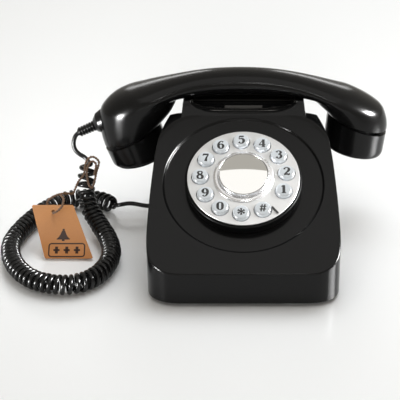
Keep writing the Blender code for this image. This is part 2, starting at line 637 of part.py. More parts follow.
join(bracket, box("bracket_shelf", (-0.0160, 0.0380, 0.0640), (0.0160, 0.0650, 0.0660)))
join(bracket, box("bracket_leg", (-0.0060, 0.0640, 0.0083), (0.0060, 0.0660, 0.0420)))
lever = turned("switch_lever", ((0.0, -0.0060), (0.0018, -0.0060), (0.0018, 0.0060), (0.0, 0.0060)), STEEL, 14)
lever.matrix_world = Matrix.Translation((0.0100, 0.0400, 0.0785)) @ Matrix.Rotation(math.pi / 2, 4, "Y")
lever_arm = box("lever_arm", (0.0070, 0.0405, 0.0777), (0.0130, 0.0620, 0.0793))
join(lever, lever_arm)
post = box("lever_post", (0.0030, 0.0382, 0.0650), (0.0038, 0.0418, 0.0800))
join(bracket, post)
switch_body = box("microswitch", (0.0030, 0.0480, 0.0663), (0.0140, 0.0630, 0.0745), RUBBER)
plunger = turned("switch_plunger", ((0.0, 0.0735), (0.0012, 0.0735), (0.0012, 0.0774), (0.0, 0.0774)), steps=12)
plunger.location = (0.0100, 0.0580, 0.0)
join(switch_body, plunger)
turns = 3
spring_points = []
for k in range(turns * 12 + 1):
    angle = 2 * math.pi * k / 12
    spring_points.append((-0.0100 + 0.0035 * math.cos(angle), 0.0580 + 0.0035 * math.sin(angle),
                          0.0672 + 0.0178 * k / (turns * 12)))
tube("return_spring", spring_points, 0.0004, STEEL, turns * 10 + 1, 0)

# ---------------------------------------------------------------- sockets and slide switch
socket = box("line_socket", (0.0195, 0.0900, 0.0093), (0.0325, 0.1035, 0.0207), RUBBER)
cut(socket, box("line_socket_hole", (0.0210, 0.0960, 0.0110), (0.0310, 0.1100, 0.0190)))
slider = box("ringer_switch", (-0.0318, 0.0960, 0.0128), (-0.0262, 0.1010, 0.0172), RUBBER)
join(slider, box("ringer_switch_tab", (-0.0303, 0.1000, 0.0132), (-0.0277, 0.1040, 0.0168)))
gland = turned("cord_gland", ((0.0, -0.0085), (0.0038, -0.0085), (0.0038, 0.0042), (0.0052, 0.0044), (0.0046, 0.0062),
                              (0.0, 0.0062)), RUBBER, 20)
gland.matrix_world = GLAND_PLACE

# ---------------------------------------------------------------- handset
handset = lofted("handset_body", HANDSET_SECTIONS, GLOSS_BLACK, 28)
BORE = ((0.0, -0.0110), (0.0200, -0.0110), (0.0200, 0.0060), (0.0, 0.0060))
CAPSULE = ((0.0, -0.0100), (0.0180, -0.0100), (0.0190, -0.0088), (0.0190, -0.0010), (0.0, -0.0010))
for name, section in (("microphone", HANDSET_SECTIONS[0]), ("earphone", HANDSET_SECTIONS[-1])):
    frame = section_frame(section)
    bore = turned(name + "_bore", BORE, steps=24)
    bore.matrix_world = frame
    cut(handset, bore)
    capsule = turned(name, CAPSULE, STEEL, 20)
    capsule.matrix_world = frame

for name, sections, depth in (("mouth_cap", MOUTH_CAP_SECTIONS, 0.0215), ("ear_cap", EAR_CAP_SECTIONS, 0.0225)):
    cap = lofted(name, sections, GLOSS_BLACK, 28)
    frame = section_frame(sections[0])
    hollow = turned(name + "_hollow", ((0.0, -0.0040), (0.0210, -0.0040), (0.0195, 0.0120), (0.0, 0.0120)), steps=24)
    hollow.matrix_world = frame
    cut(cap, hollow)
    end = section_frame(sections[-1])
    holes = [(0.0, 0.0)] + [(0.0075 * math.cos(k * math.pi / 3), 0.0075 * math.sin(k * math.pi / 3)) for k in range(6)]
    for number, (x, y) in enumerate(holes):
        hole = turned("%s_hole_%d" % (name, number), ((0.0, -0.0200), (0.0013, -0.0200), (0.0013, 0.0050), (0.0, 0.0050)),
                      steps=8)
        hole.matrix_world = end @ Matrix.Translation((x, y, 0.0))
        cut(cap, hole)

# ---------------------------------------------------------------- cord
start = Vector((RELIEF_START[0], HANDSET_Y, RELIEF_START[1]))
end = Vector((RELIEF_END[0], HANDSET_Y, RELIEF_END[1]))
direction = (end - start).normalized()
turn = Vector((0.0, 0.0, 1.0)).rotation_difference(direction).to_matrix().to_4x4()
length = (end - start).length
relief_outline = [(0.0, -0.0060), (0.0118, -0.0060), (0.0100, 0.0006), (0.0064, 0.0042), (0.0052, 0.0050)]
for rib in range(4):
    at = 0.0058 + rib * 0.0024
    wide = 0.0048 - rib * 0.0005
    relief_outline += [(wide - 0.0008, at), (wide, at + 0.0006), (wide, at + 0.0014), (wide - 0.0009, at + 0.0019)]
relief_outline += [(0.0024, length - 0.0006), (0.0021, length), (0.0, length)]
relief = turned("handset_strain_relief", relief_outline, RUBBER, 16)
relief.matrix_world = Matrix.Translation(start) @ turn
cut(relief, lofted("relief_seat", HANDSET_SECTIONS, None, 24, -0.0004))

tube("cord_lead_handset", LEAD_ROUTE, LEAD_RADIUS, RUBBER, 14, 1)
tube("curly_cord", COIL_ROUTE, COIL_RADIUS, RUBBER, 44, 2)
tube("cord_lead_base", BASE_LEAD_ROUTE, LEAD_RADIUS, RUBBER, 12, 1)

# ---------------------------------------------------------------- tag
tag = extruded("leather_tag", TAG_OUTLINE, "Z", -TAG_THICKNESS / 2, TAG_THICKNESS / 2, ((0.62, 0.30, 0.10), 0.0, 0.6))
tag_hole = turned("tag_hole", ((0.0, -0.01), (0.0016, -0.01), (0.0016, 0.01), (0.0, 0.01)), steps=12)
tag_hole.location = (TAG_HOLE[0], TAG_HOLE[1], 0.0)
cut(tag, tag_hole)
tag_place = Matrix.Translation(TAG_CENTRE) @ Matrix.Rotation(TAG_LEAN, 4, "X")
tag.matrix_world = tag_place
tag_hole.matrix_world = tag_place @ Matrix.Translation((TAG_HOLE[0], TAG_HOLE[1], 0.0))
tube("tag_string", STRING_ROUTE, STRING_RADIUS, ((0.10, 0.05, 0.02), 0.0, 0.8), 64, 0)
for part in CUTTERS.objects:
    part.hide_render = True
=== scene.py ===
import json
import math

import bmesh
import bpy
import numpy as np
from mathutils import Matrix, Vector

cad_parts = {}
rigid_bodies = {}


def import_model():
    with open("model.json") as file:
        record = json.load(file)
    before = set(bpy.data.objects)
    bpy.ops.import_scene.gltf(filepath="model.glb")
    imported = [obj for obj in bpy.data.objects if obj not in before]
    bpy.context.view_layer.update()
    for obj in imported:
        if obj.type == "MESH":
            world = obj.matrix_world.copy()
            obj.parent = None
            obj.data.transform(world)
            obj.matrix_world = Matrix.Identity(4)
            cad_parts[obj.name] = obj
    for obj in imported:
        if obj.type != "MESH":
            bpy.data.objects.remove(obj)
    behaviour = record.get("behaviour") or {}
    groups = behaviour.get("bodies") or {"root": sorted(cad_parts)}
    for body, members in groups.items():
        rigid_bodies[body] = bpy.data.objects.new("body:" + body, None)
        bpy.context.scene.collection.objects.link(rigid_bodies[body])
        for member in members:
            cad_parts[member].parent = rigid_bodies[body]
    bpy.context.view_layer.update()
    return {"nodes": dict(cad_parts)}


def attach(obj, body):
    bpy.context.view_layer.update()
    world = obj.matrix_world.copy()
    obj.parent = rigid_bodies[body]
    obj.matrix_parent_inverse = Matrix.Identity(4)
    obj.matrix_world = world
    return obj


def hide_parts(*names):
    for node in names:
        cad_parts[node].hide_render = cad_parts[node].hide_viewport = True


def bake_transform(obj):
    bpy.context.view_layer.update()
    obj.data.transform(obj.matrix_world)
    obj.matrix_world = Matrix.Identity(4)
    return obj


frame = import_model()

print("frame loaded:", len(frame["nodes"]), "nodes")

# the case's sloping face: its slope, its front foot, and how far up the slope the dial's centre is
faceSet = {"slope": 30.0, "foot": (0.0, -0.1, 0.031), "dialUp": 0.08}
faceSet["cos"], faceSet["sin"] = math.cos(math.radians(faceSet["slope"])), math.sin(math.radians(faceSet["slope"]))


def smoothLine(points, count):
    # evenly spaced points on a Catmull-Rom curve through the given ones
    given = np.array(points, float)
    ahead = np.vstack([2 * given[0] - given[1], given, 2 * given[-1] - given[-2]])
    t = np.linspace(0.0, 1.0, 24, endpoint=False)[:, None]
    spans = []
    for p0, p1, p2, p3 in zip(ahead, ahead[1:], ahead[2:], ahead[3:]):
        near = 2 * p1 + (p2 - p0) * t + (2 * p0 - 5 * p1 + 4 * p2 - p3) * t ** 2
        spans.append(0.5 * (near + (3 * p1 - p0 - 3 * p2 + p3) * t ** 3))
    fine = np.vstack(spans + [given[-1:]])
    run = travelled(fine)
    want = np.linspace(0.0, run[-1], count)
    return np.stack([np.interp(want, run, fine[:, k]) for k in range(given.shape[1])], axis=1)


def unit(vectors):
    return vectors / np.linalg.norm(vectors, axis=1, keepdims=True)


def travelled(points):
    # distance from the start along the points
    return np.concatenate([[0.0], np.cumsum(np.linalg.norm(np.diff(points, axis=0), axis=1))])


def step(value):
    # smooth rise from 0 to 1 as value goes from 0 to 1
    value = np.clip(value, 0.0, 1.0)
    return value * value * (3 - 2 * value)


def softMin(a, b, width):
    # the smaller of two heights, rounded where they cross
    mix = np.clip(0.5 + 0.5 * (b - a) / width, 0.0, 1.0)
    return b * (1 - mix) + a * mix - width * mix * (1 - mix)


def along(points, at, rounding=0.0):
    # height of a line at the given places; the line's corners are eased over the rounding length
    line = np.array(points, float)
    if not rounding:
        return np.interp(at, line[:, 0], line[:, 1])
    total = 0.0
    for k, weight in zip((-1.0, -0.5, 0.0, 0.5, 1.0), (1, 4, 6, 4, 1)):
        total = total + weight * np.interp(at + k * rounding, line[:, 0], line[:, 1])
    return total / 16


def gridFaces(rows, columns, closed):
    # quads between neighbouring rows; closed joins the last column to the first
    row, column = np.meshgrid(np.arange(rows - 1), np.arange(columns if closed else columns - 1), indexing="ij")
    after = (column + 1) % columns
    corners = [row * columns + column, row * columns + after, (row + 1) * columns + after,
        (row + 1) * columns + column]
    return np.stack(corners, axis=2).reshape(-1, 4)


def meshFrom(points, faces):
    mesh = bpy.data.meshes.new("surface")
    mesh.from_pydata(points.tolist(), [], [list(face) for face in faces])
    return mesh


def outward(mesh):
    work = bmesh.new()
    work.from_mesh(mesh)
    bmesh.ops.remove_doubles(work, verts=work.verts, dist=1e-7)
    bmesh.ops.recalc_face_normals(work, faces=work.faces)
    work.to_mesh(mesh)
    work.free()
    mesh.update()
    return mesh


def place(name, mesh):
    mesh.name = name
    item = bpy.data.objects.new(name, mesh)
    bpy.context.scene.collection.objects.link(item)
    return item


def dress(item, material, sharp=None):
    # one material and smooth faces, with creases where they meet at more than the sharp angle
    item.data.materials.clear()
    item.data.materials.append(material)
    item.data.shade_smooth()
    if sharp:
        item.data.set_sharp_from_angle(angle=math.radians(sharp))


def finish(item, material, node, body, sharp=35):
    # the finish, then the piece's place in the assembly
    dress(item, material, sharp)
    if node:
        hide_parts(node)
    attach(item, body)


def tubeMesh(rings):
    # rings is [ring, point, xyz]; both ends are closed by a centre point
    count, around = rings.shape[:2]
    points = np.vstack([rings.reshape(-1, 3), rings[0].mean(axis=0)[None], rings[-1].mean(axis=0)[None]])
    faces = gridFaces(count, around, True).tolist()
    first, last = count * around, count * around + 1
    turn = np.arange(around)
    after = (turn + 1) % around
    faces += np.stack([np.full(around, first), after, turn], axis=1).tolist()
    faces += np.stack([np.full(around, last), turn + (count - 1) * around, after + (count - 1) * around],
        axis=1).tolist()
    return outward(meshFrom(points, faces))


def turned(profile, around, endpoint=False):
    # (radius, height) points carried round the z axis: x and y are the radius times the angle's cosine and sine
    line = np.array(profile, float)
    angle = np.linspace(0.0, 2 * math.pi, around, endpoint=endpoint)
    height = np.repeat(line[:, 1:], around, axis=1)
    return np.stack([line[:, :1] * np.cos(angle), line[:, :1] * np.sin(angle), height], axis=2)


def turnedMesh(profile, around, frameMatrix):
    # the profile starts and ends near the axis
    mesh = tubeMesh(turned(profile, around))
    mesh.transform(frameMatrix)
    return mesh


def turnedPlug(radius, low, high, around, frameMatrix):
    # a plain round cutter
    return turnedMesh(((0.0, low), (radius, low), (radius, high), (0.0, high)), around, frameMatrix)


def turnedRing(profile, around, frameMatrix):
    # a closed outline, off the axis
    grid = turned(profile[:-1], around + 1, True)
    grid = np.concatenate([grid, grid[:1]])
    mesh = outward(meshFrom(grid.reshape(-1, 3), gridFaces(len(grid), around + 1, False)))
    mesh.transform(frameMatrix)
    return mesh


def rounded(profile, radius, count=4):
    # each inner corner of a profile becomes a short arc, by a quadratic curve that starts and ends radius away
    line = [np.array(p, float) for p in profile]
    out = [line[0]]
    for before, corner, after in zip(line, line[1:], line[2:]):
        a, b = before - corner, after - corner
        reachA = min(radius, np.linalg.norm(a) * 0.45)
        reachB = min(radius, np.linalg.norm(b) * 0.45)
        start, end = corner + a / np.linalg.norm(a) * reachA, corner + b / np.linalg.norm(b) * reachB
        for t in np.linspace(0.0, 1.0, count):
            out.append((1 - t) ** 2 * start + 2 * t * (1 - t) * corner + t ** 2 * end)
    out.append(line[-1])
    return np.array(out)


def cutOut(item, cutters):
    # exact Boolean differences, applied
    for cutter in cutters:
        take = item.modifiers.new("opening", "BOOLEAN")
        take.operation = "DIFFERENCE"
        take.solver = "EXACT"
        take.object = cutter
    bpy.context.view_layer.update()
    depsgraph = bpy.context.evaluated_depsgraph_get()
    mesh = bpy.data.meshes.new_from_object(item.evaluated_get(depsgraph))
    # points under a micron apart become one, which closes the hairline gaps a Boolean leaves
    work = bmesh.new()
    work.from_mesh(mesh)
    bmesh.ops.remove_doubles(work, verts=work.verts, dist=1e-6)
    bmesh.ops.dissolve_degenerate(work, edges=work.edges, dist=1e-6)
    work.to_mesh(mesh)
    work.free()
    item.modifiers.clear()
    old = item.data
    item.data = mesh
    bpy.data.meshes.remove(old)
    for cutter in cutters:
        bpy.data.objects.remove(cutter, do_unlink=True)


def blockCutter(low, high):
    x, y, z = np.meshgrid([low[0], high[0]], [low[1], high[1]], [low[2], high[2]], indexing="ij")
    points = np.stack([x, y, z], axis=3).reshape(-1, 3)
    faces = [(0, 1, 3, 2), (4, 6, 7, 5), (0, 4, 5, 1), (2, 3, 7, 6), (0, 2, 6, 4), (1, 5, 7, 3)]
    return place("cutter", outward(meshFrom(points, faces)))


def onFace(x=0.0, y=0.0):
    # a place on the dial: x across, y up the slope, and z out of the face
    up = Vector((0.0, faceSet["cos"], faceSet["sin"]))
    out = Vector((0.0, -faceSet["sin"], faceSet["cos"]))
    frameMatrix = Matrix((Vector((1.0, 0.0, 0.0)), up, out)).transposed().to_4x4()
    frameMatrix.translation = Vector(faceSet["foot"]) + up * (faceSet["dialUp"] + y) + Vector((x, 0.0, 0.0))
    return frameMatrix


class Value:
    # a node socket that can be used in Python sums
    def __init__(self, nodes, socket):
        self.nodes, self.socket = nodes, socket

    def maths(self, operation, *others):
        inputs = {k: other for k, other in enumerate(others)}
        return self.nodes.add("ShaderNodeMath", {"operation": operation}, inputs)

    def __add__(self, other):
        return self.maths("ADD", self, other)

    def __radd__(self, other):
        return self.maths("ADD", other, self)

    def __sub__(self, other):
        return self.maths("SUBTRACT", self, other)

    def __rsub__(self, other):
        return self.maths("SUBTRACT", other, self)

    def __mul__(self, other):
        return self.maths("MULTIPLY", self, other)

    def __rmul__(self, other):
        return self.maths("MULTIPLY", other, self)

    def __truediv__(self, other):
        return self.maths("DIVIDE", self, other)

    def clamp(self):
        return self.nodes.add("ShaderNodeClamp", {}, {0: self})

    def root(self):
        return self.maths("SQRT", self)


class Material:
    # one Principled material and the nodes that feed it
    def __init__(self, name, colour, metallic=0.0, roughness=0.5, **constants):
        self.made = bpy.data.materials.new(name)
        self.made.use_nodes = True
        self.tree = self.made.node_tree
        self.shader = self.tree.nodes["Principled BSDF"]
        self.shader.inputs["Base Color"].default_value = (*colour, 1.0)
        self.shader.inputs["Metallic"].default_value = metallic
        self.shader.inputs["Roughness"].default_value = roughness
        for key, value in constants.items():
            self.shader.inputs[key.replace("_", " ")].default_value = value

    def add(self, kind, settings, inputs, output=0):
        node = self.tree.nodes.new(kind)
        for key, value in settings.items():
            setattr(node, key, value)
        for key, value in inputs.items():
            if isinstance(value, Value):
                self.tree.links.new(value.socket, node.inputs[key])
            else:
                node.inputs[key].default_value = value
        return Value(self, node.outputs[output])

    def feed(self, key, value):
        self.tree.links.new(value.socket, self.shader.inputs[key])

    def where(self):
        return self.add("ShaderNodeTexCoord", {}, {}, "Object")

    def parts(self, vector):
        node = self.tree.nodes.new("ShaderNodeSeparateXYZ")
        self.tree.links.new(vector.socket, node.inputs[0])
        return [Value(self, out) for out in node.outputs]

    def noise(self, vector, scale, detail):
        return self.add("ShaderNodeTexNoise", {}, {"Vector": vector, "Scale": scale, "Detail": detail})

    def mix(self, factor, a, b):
        node = self.tree.nodes.new("ShaderNodeMix")
        node.data_type = "RGBA"
        sockets = {0: factor, 6: a, 7: b}
        for key, value in sockets.items():
            if isinstance(value, Value):
                self.tree.links.new(value.socket, node.inputs[key])
            elif key:
                node.inputs[key].default_value = (*value, 1.0)
            else:
                node.inputs[key].default_value = value
        return Value(self, node.outputs[2])

    def bump(self, height, strength, distance):
        made = self.add("ShaderNodeBump", {}, {"Strength": strength, "Distance": distance, "Height": height})
        self.feed("Normal", made)


def mouldedPlastic(name, colour, roughness, ripple=0.04, gloss=0.5):
    # polished moulding: faint flow ripple, fine dust in the roughness
    made = Material(name, colour, 0.0, roughness, Specular_IOR_Level=gloss)
    spot = made.where()
    dust = made.noise(spot, 900.0, 2.0)
    flow = made.noise(spot, 28.0, 3.0)
    made.feed("Roughness", (dust * 0.05 + flow * 0.06 + (roughness - 0.05)).clamp())
    made.bump(flow + dust * 0.04, ripple, 0.0006)
    return made.made


def plainRubber(name, colour, roughness=0.55):
    made = Material(name, colour, 0.0, roughness)
    spot = made.where()
    grain = made.noise(spot, 1400.0, 3.0)
    patch = made.noise(spot, 60.0, 2.0)
    made.feed("Roughness", (grain * 0.12 + patch * 0.1 + (roughness - 0.11)).clamp())
    made.bump(grain, 0.12, 0.0002)
    return made.made


def castMetal(name, colour, roughness, grainScale=1100.0):
    made = Material(name, colour, 1.0, roughness)
    spot = made.where()
    grain = made.noise(spot, grainScale, 3.0)
    patch = made.noise(spot, 40.0, 3.0)
    made.feed("Base Color", made.mix(patch, tuple(c * 0.88 for c in colour),
        tuple(min(1.0, c * 1.06) for c in colour)))
    made.feed("Roughness", (grain * 0.12 + patch * 0.08 + (roughness - 0.1)).clamp())
    made.bump(grain, 0.08, 0.0001)
    return made.made


caseGloss = mouldedPlastic("case_gloss", (0.0055, 0.0055, 0.0058), 0.17, 0.03, 0.2)
handsetGloss = mouldedPlastic("handset_gloss", (0.004, 0.004, 0.0042), 0.19, 0.03, 0.24)
keyPlastic = mouldedPlastic("key_plastic", (0.012, 0.012, 0.012), 0.3)
matteBlack = plainRubber("matte_black", (0.012, 0.012, 0.012), 0.6)
footRubber = plainRubber("foot_rubber", (0.018, 0.018, 0.018), 0.75)
cordPlastic = mouldedPlastic("cord_plastic", (0.005, 0.005, 0.0053), 0.22, 0.06, 0.35)
steelMetal = castMetal("bright_steel", (0.6, 0.6, 0.61), 0.3)
brassMetal = castMetal("brass", (0.72, 0.5, 0.2), 0.28)
boardGreen = plainRubber("board_green", (0.02, 0.14, 0.06), 0.45)
chromeMetal = castMetal("chrome", (0.74, 0.74, 0.75), 0.2)
softChrome = castMetal("soft_chrome", (0.8, 0.8, 0.81), 0.26)
ringBlack = mouldedPlastic("ring_black", (0.0028, 0.0028, 0.003), 0.36, 0.03, 0.08)


def brushedPlate():
    # silver lacquer over turned rings: the grain runs round the dial's axis
    made = Material("silver_plate", (0.66, 0.66, 0.66), 0.75, 0.36)
    x, y, z = made.parts(made.where())
    centre = onFace().translation
    across = (y - centre.y) * faceSet["cos"] + (z - centre.z) * faceSet["sin"]
    radius = (x * x + across * across).root()
    rings = made.add("ShaderNodeTexNoise", {"noise_dimensions": "1D"}, {"W": radius, "Scale": 5200.0, "Detail": 3.0})
    cloud = made.noise(made.where(), 30.0, 2.0)
    made.feed("Base Color", made.mix(cloud, (0.62, 0.625, 0.63), (0.72, 0.72, 0.72)))
    made.feed("Roughness", (rings * 0.16 + 0.27).clamp())
    made.bump(rings, 0.1, 0.0001)
    return made.made


silverPlate = brushedPlate()


def mirrorSilver():
    made = Material("mirror_silver", (0.93, 0.93, 0.92), 1.0, 0.03)
    haze = made.noise(made.where(), 120.0, 3.0)
    made.feed("Roughness", (haze * 0.04 + 0.015).clamp())
    return made.made


def buttonWhite():
    # pale blue-white keycap, its tone varying in soft patches
    made = Material("button_white", (0.74, 0.77, 0.83), 0.0, 0.3)
    spot = made.where()
    grain = made.noise(spot, 1500.0, 2.0)
    cloud = made.noise(spot, 180.0, 2.0)
    made.feed("Base Color", made.mix(cloud, (0.63, 0.675, 0.72), (0.7, 0.735, 0.775)))
    made.feed("Roughness", (grain * 0.12 + 0.22).clamp())
    made.bump(grain, 0.05, 0.0001)
    return made.made


cameraSet = {"distance": 1.0, "elevation": 27.0, "aim": (0.0, 0.0, 0.04), "focal": 1192.0, "shift": -0.10875}


def makeCamera():
    # focal is in units of a 400 wide picture; the lens keeps the same angle on a 36 mm sensor
    data = bpy.data.cameras.new("camera")
    data.sensor_width = 36.0
    data.lens = 36.0 * cameraSet["focal"] / 400.0
    data.shift_x = cameraSet["shift"]
    data.clip_end = 50.0
    camera = bpy.data.objects.new("camera", data)
    bpy.context.scene.collection.objects.link(camera)
    tilt = math.radians(cameraSet["elevation"])
    x, y, z = cameraSet["aim"]
    camera.location = (x, y - cameraSet["distance"] * math.cos(tilt), z + cameraSet["distance"] * math.sin(tilt))
    camera.rotation_euler = (math.pi / 2 - tilt, 0.0, 0.0)
    bpy.context.scene.camera = camera


makeCamera()
print("camera placed")

cordSet = {
    "reliefTip": (-0.1423, 0.058, 0.0766),
    "lead": (
        (-0.142, 0.058, 0.0767), (-0.1456, 0.0575, 0.074), (-0.1474, 0.0565, 0.07), (-0.1478, 0.0552, 0.0652),
        (-0.1462, 0.0537, 0.061), (-0.1422, 0.0522, 0.0578), (-0.1372, 0.051, 0.0556),
    ),
    "coil": (
        (-0.1356, 0.0498, 0.0538), (-0.1362, 0.044, 0.0425), (-0.1372, 0.037, 0.031), (-0.1335, 0.026, 0.0195),
        (-0.124, 0.011, 0.0115), (-0.114, -0.011, 0.0086), (-0.109, -0.036, 0.0084), (-0.113, -0.062, 0.0084),
        (-0.126, -0.08, 0.0084), (-0.145, -0.085, 0.0084), (-0.168, -0.076, 0.0084), (-0.186, -0.052, 0.0084),
        (-0.194, -0.021, 0.0084), (-0.189, 0.01, 0.0084), (-0.1775, 0.038, 0.0084), (-0.163, 0.058, 0.0084),
        (-0.147, 0.066, 0.0084), (-0.13, 0.062, 0.0084), (-0.113, 0.051, 0.0084),
    ),
    "baseLead": (
        (-0.112, 0.05, 0.0092), (-0.1085, 0.0484, 0.0108), (-0.1, 0.049, 0.0118), (-0.088, 0.0485, 0.0098),
        (-0.079, 0.0468, 0.01), (-0.064, 0.0444, 0.0115),
    ),
    "blendStart": (-0.1372, 0.05, 0.033), "blendEnd": (-0.1372, 0.05, 0.0745),
    "coilRadius": 0.0083, "thick": 0.0038, "wide": 0.0038, "aroundTurn": 20, "ring": 12,
    "pitch": ((0.0, 0.008), (0.026, 0.007), (0.04, 0.0053), (0.11, 0.0053), (0.17, 0.005), (0.24, 0.005),
    (0.3, 0.0055), (0.47, 0.0056)),
}


def makeCord():
    # a line along the lead, then circles carried along the coil's axis, then the second lead; an oval is swept along it
    thick, wide = cordSet["thick"], cordSet["wide"]
    axis = smoothLine(cordSet["coil"], 900)
    run = travelled(axis)
    length = run[-1]
    fineAt = np.linspace(0.0, length, 4000)
    pitch = along(cordSet["pitch"], fineAt, 0.006)
    wound = np.concatenate([[0.0], np.cumsum(np.diff(fineAt) / pitch[1:])])
    turns = round(wound[-1])
    count = turns * cordSet["aroundTurn"] + 1
    phase = np.linspace(0.0, turns, count)
    at = np.interp(phase / turns * wound[-1], wound, fineAt)
    centre = np.stack([np.interp(at, run, axis[:, k]) for k in range(3)], axis=1)
    forward = unit(np.gradient(centre, axis=0))
    # the sides come from a fixed direction while the coil hangs, and from the upright once it lies down
    flat = unit(np.cross(forward, np.array([0.0, 0.0, 1.0])))
    hang = unit(np.cross(forward, np.array([-0.9, 0.1, 0.42])))
    lying = step((at - 0.045) / 0.02)[:, None]
    hang *= np.sign((hang * flat)[at > 0.05][0].sum())
    side = flat * lying + hang * (1 - lying)
    side -= (side * forward).sum(axis=1, keepdims=True) * forward
    side = unit(side)
    up = np.cross(side, forward)
    phase = 2 * math.pi * phase + 2.4
    coilRadius = cordSet["coilRadius"] - thick / 2 - 0.0001
    fade = step(at / 0.006) * step((length - at) / 0.007)
    uneven = 1 + 0.02 * np.sin(phase * 0.37 + 1.0)
    radius = (coilRadius * uneven * fade)[:, None]
    outwards = side * np.cos(phase)[:, None] + up * np.sin(phase)[:, None]
    helix = centre + radius * outwards
    first = smoothLine(cordSet["lead"], 40)
    last = smoothLine(cordSet["baseLead"], 40)
    path = np.vstack([first[:-1], helix, last[1:]])
    # even out the joins between the stretches
    for _ in range(6):
        middle = (path[:-2] + 2 * path[1:-1] + path[2:]) / 4
        weight = np.ones(len(middle))
        weight[60:-60] = 0.0
        path[1:-1] = path[1:-1] * (1 - weight[:, None]) + middle * weight[:, None]
    tangent = unit(np.gradient(path, axis=0))
    # the flat side faces the coil's axis; along the leads it faces up
    facing = np.vstack([np.repeat([[0.6, 0.0, 0.8]], len(first) - 1, axis=0), outwards,
        np.repeat([[0.0, 0.0, 1.0]], len(last) - 1, axis=0)])
    kernel = np.ones(9) / 9
    ends = np.r_[0:70, len(path) - 70:len(path)]
    smooth = np.stack([np.convolve(facing[:, k], kernel, mode="same") for k in range(3)], axis=1)
    facing[ends] = smooth[ends]
    facing -= (facing * tangent).sum(axis=1, keepdims=True) * tangent
    facing = unit(facing)
    across = np.cross(tangent, facing)
    angle = np.linspace(0.0, 2 * math.pi, cordSet["ring"], endpoint=False)
    rings = path[:, None] + facing[:, None] * (np.cos(angle) * thick / 2)[None, :, None]
    rings = rings + across[:, None] * (np.sin(angle) * wide / 2)[None, :, None]
    cord = place("curly_cord_wire", tubeMesh(rings))
    dress(cord, cordPlastic)
    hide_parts("curly_cord", "cord_lead_handset", "cord_lead_base")
    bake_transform(cord)


makeCord()


caseSet = {
    "front": -0.104, "rear": 0.104, "bottom": 0.003, "wall": 0.003, "edge": 0.0011,
    "plan": (
        (0.05, -0.104), (0.06, -0.1025), (0.069, -0.0975), (0.074, -0.09), (0.0758, -0.08),
        (0.076, -0.065), (0.075, -0.04), (0.0728, -0.01), (0.07, 0.01), (0.0665, 0.027),
        (0.063, 0.04), (0.0605, 0.052), (0.0588, 0.066), (0.0575, 0.082), (0.0555, 0.093),
        (0.05, 0.101), (0.042, 0.104),
    ),
    "rearLine": ((0.03, 0.111), (0.0375, 0.104), (0.062, 0.0845), (0.093, 0.06), (0.101, 0.051), (0.104, 0.042)),
    "shoulder": (
        (0.0, 0.1085), (0.03, 0.1075), (0.048, 0.1052), (0.057, 0.1028), (0.064, 0.0992), (0.07, 0.0945),
        (0.0748, 0.089), (0.078, 0.083),
    ),
    "cradleSide": (
        (0.019, -0.05), (0.0205, 0.085), (0.028, 0.1047), (0.034, 0.1105), (0.0362, 0.1138), (0.038, 0.1147),
        (0.0398, 0.1138), (0.043, 0.1122), (0.048, 0.1113), (0.058, 0.111), (0.068, 0.1113), (0.073, 0.1122),
        (0.0762, 0.1138), (0.078, 0.1147), (0.0798, 0.1138), (0.0825, 0.108), (0.085, 0.085), (0.086, 0.06),
        (0.087, -0.05),
    ),
    "saddle": ((0.0, 0.1057), (0.018, 0.1062), (0.032, 0.1075), (0.04, 0.1098), (0.0455, 0.113), (0.0475, 0.12)),
    "cradleHalf": 0.0525,
    "trough": ((0.0405, 0.114), (0.0415, 0.108), (0.0419, 0.1015), (0.043, 0.099), (0.0455, 0.098), (0.0705, 0.098),
               (0.073, 0.099), (0.0741, 0.1015), (0.0745, 0.108), (0.0755, 0.114)),
    "troughHalf": 0.043,
    "well": ((0.0, -0.0015), (0.0636, -0.0015), (0.065, 0.0001), (0.0656, 0.0004), (0.066, 0.02), (0.0, 0.02)),
    "dialOpening": 0.04, "hookPin": (0.049, 0.058, 0.0021), "gland": ((-0.0584, 0.0432, 0.0115), -11.8, 0.0042),
    # the low and high corners of the hook key's slot and of the two openings in the rear wall
    "slots": (
        ((-0.0164, 0.0428, 0.09), (0.0164, 0.0502, 0.1003)), ((0.0192, 0.095, 0.009), (0.0328, 0.108, 0.021)),
        ((-0.035, 0.095, 0.0125), (-0.023, 0.108, 0.0175)),
    ),
}


def caseTop(x, y):
    # the lowest of the face, the rear slope and the shoulders; the saddle block is added and the trough taken out
    x = np.abs(x)
    face = 0.032 + (y + 0.0988) * faceSet["sin"] / faceSet["cos"]
    rear = along(caseSet["rearLine"], y, 0.002)
    body = softMin(softMin(face, rear, 0.003), along(caseSet["shoulder"], x, 0.003), 0.0022)
    block = softMin(along(caseSet["cradleSide"], y, 0.0011), along(caseSet["saddle"], x, 0.0022), 0.001)
    side = (caseSet["cradleHalf"] + 0.0003 - x) * 9 + 0.096
    block = softMin(block, side, 0.0016)
    top = -softMin(-body, -block, 0.0009 + 0.0045 * step((x - 0.0485) / 0.003))
    hollow = along(caseSet["trough"], y, 0.0005)
    hollow = -softMin(-hollow, -(0.098 + (x - caseSet["troughHalf"] + 0.0016) * 9), 0.002)
    return softMin(top, hollow, 0.001)


def caseOutline(inset):
    # the plan's right side from front to rear as a smooth line, moved in by the inset
    line = smoothLine(caseSet["plan"], 160)
    ahead = unit(np.gradient(line, axis=0))
    moved = line + np.stack([-ahead[:, 1], ahead[:, 0]], axis=1) * inset
    moved[0] = (line[0, 0], caseSet["front"] + inset)
    moved[-1] = (line[-1, 0], caseSet["rear"] - inset)
    return moved


def spread(*stretches):
    # positions from (start, end, spacing) stretches laid end to end
    parts = [np.linspace(a, b, max(2, int(round((b - a) / gap)) + 1))[:-1] for a, b, gap in stretches]
    return np.concatenate(parts + [[stretches[-1][1]]])


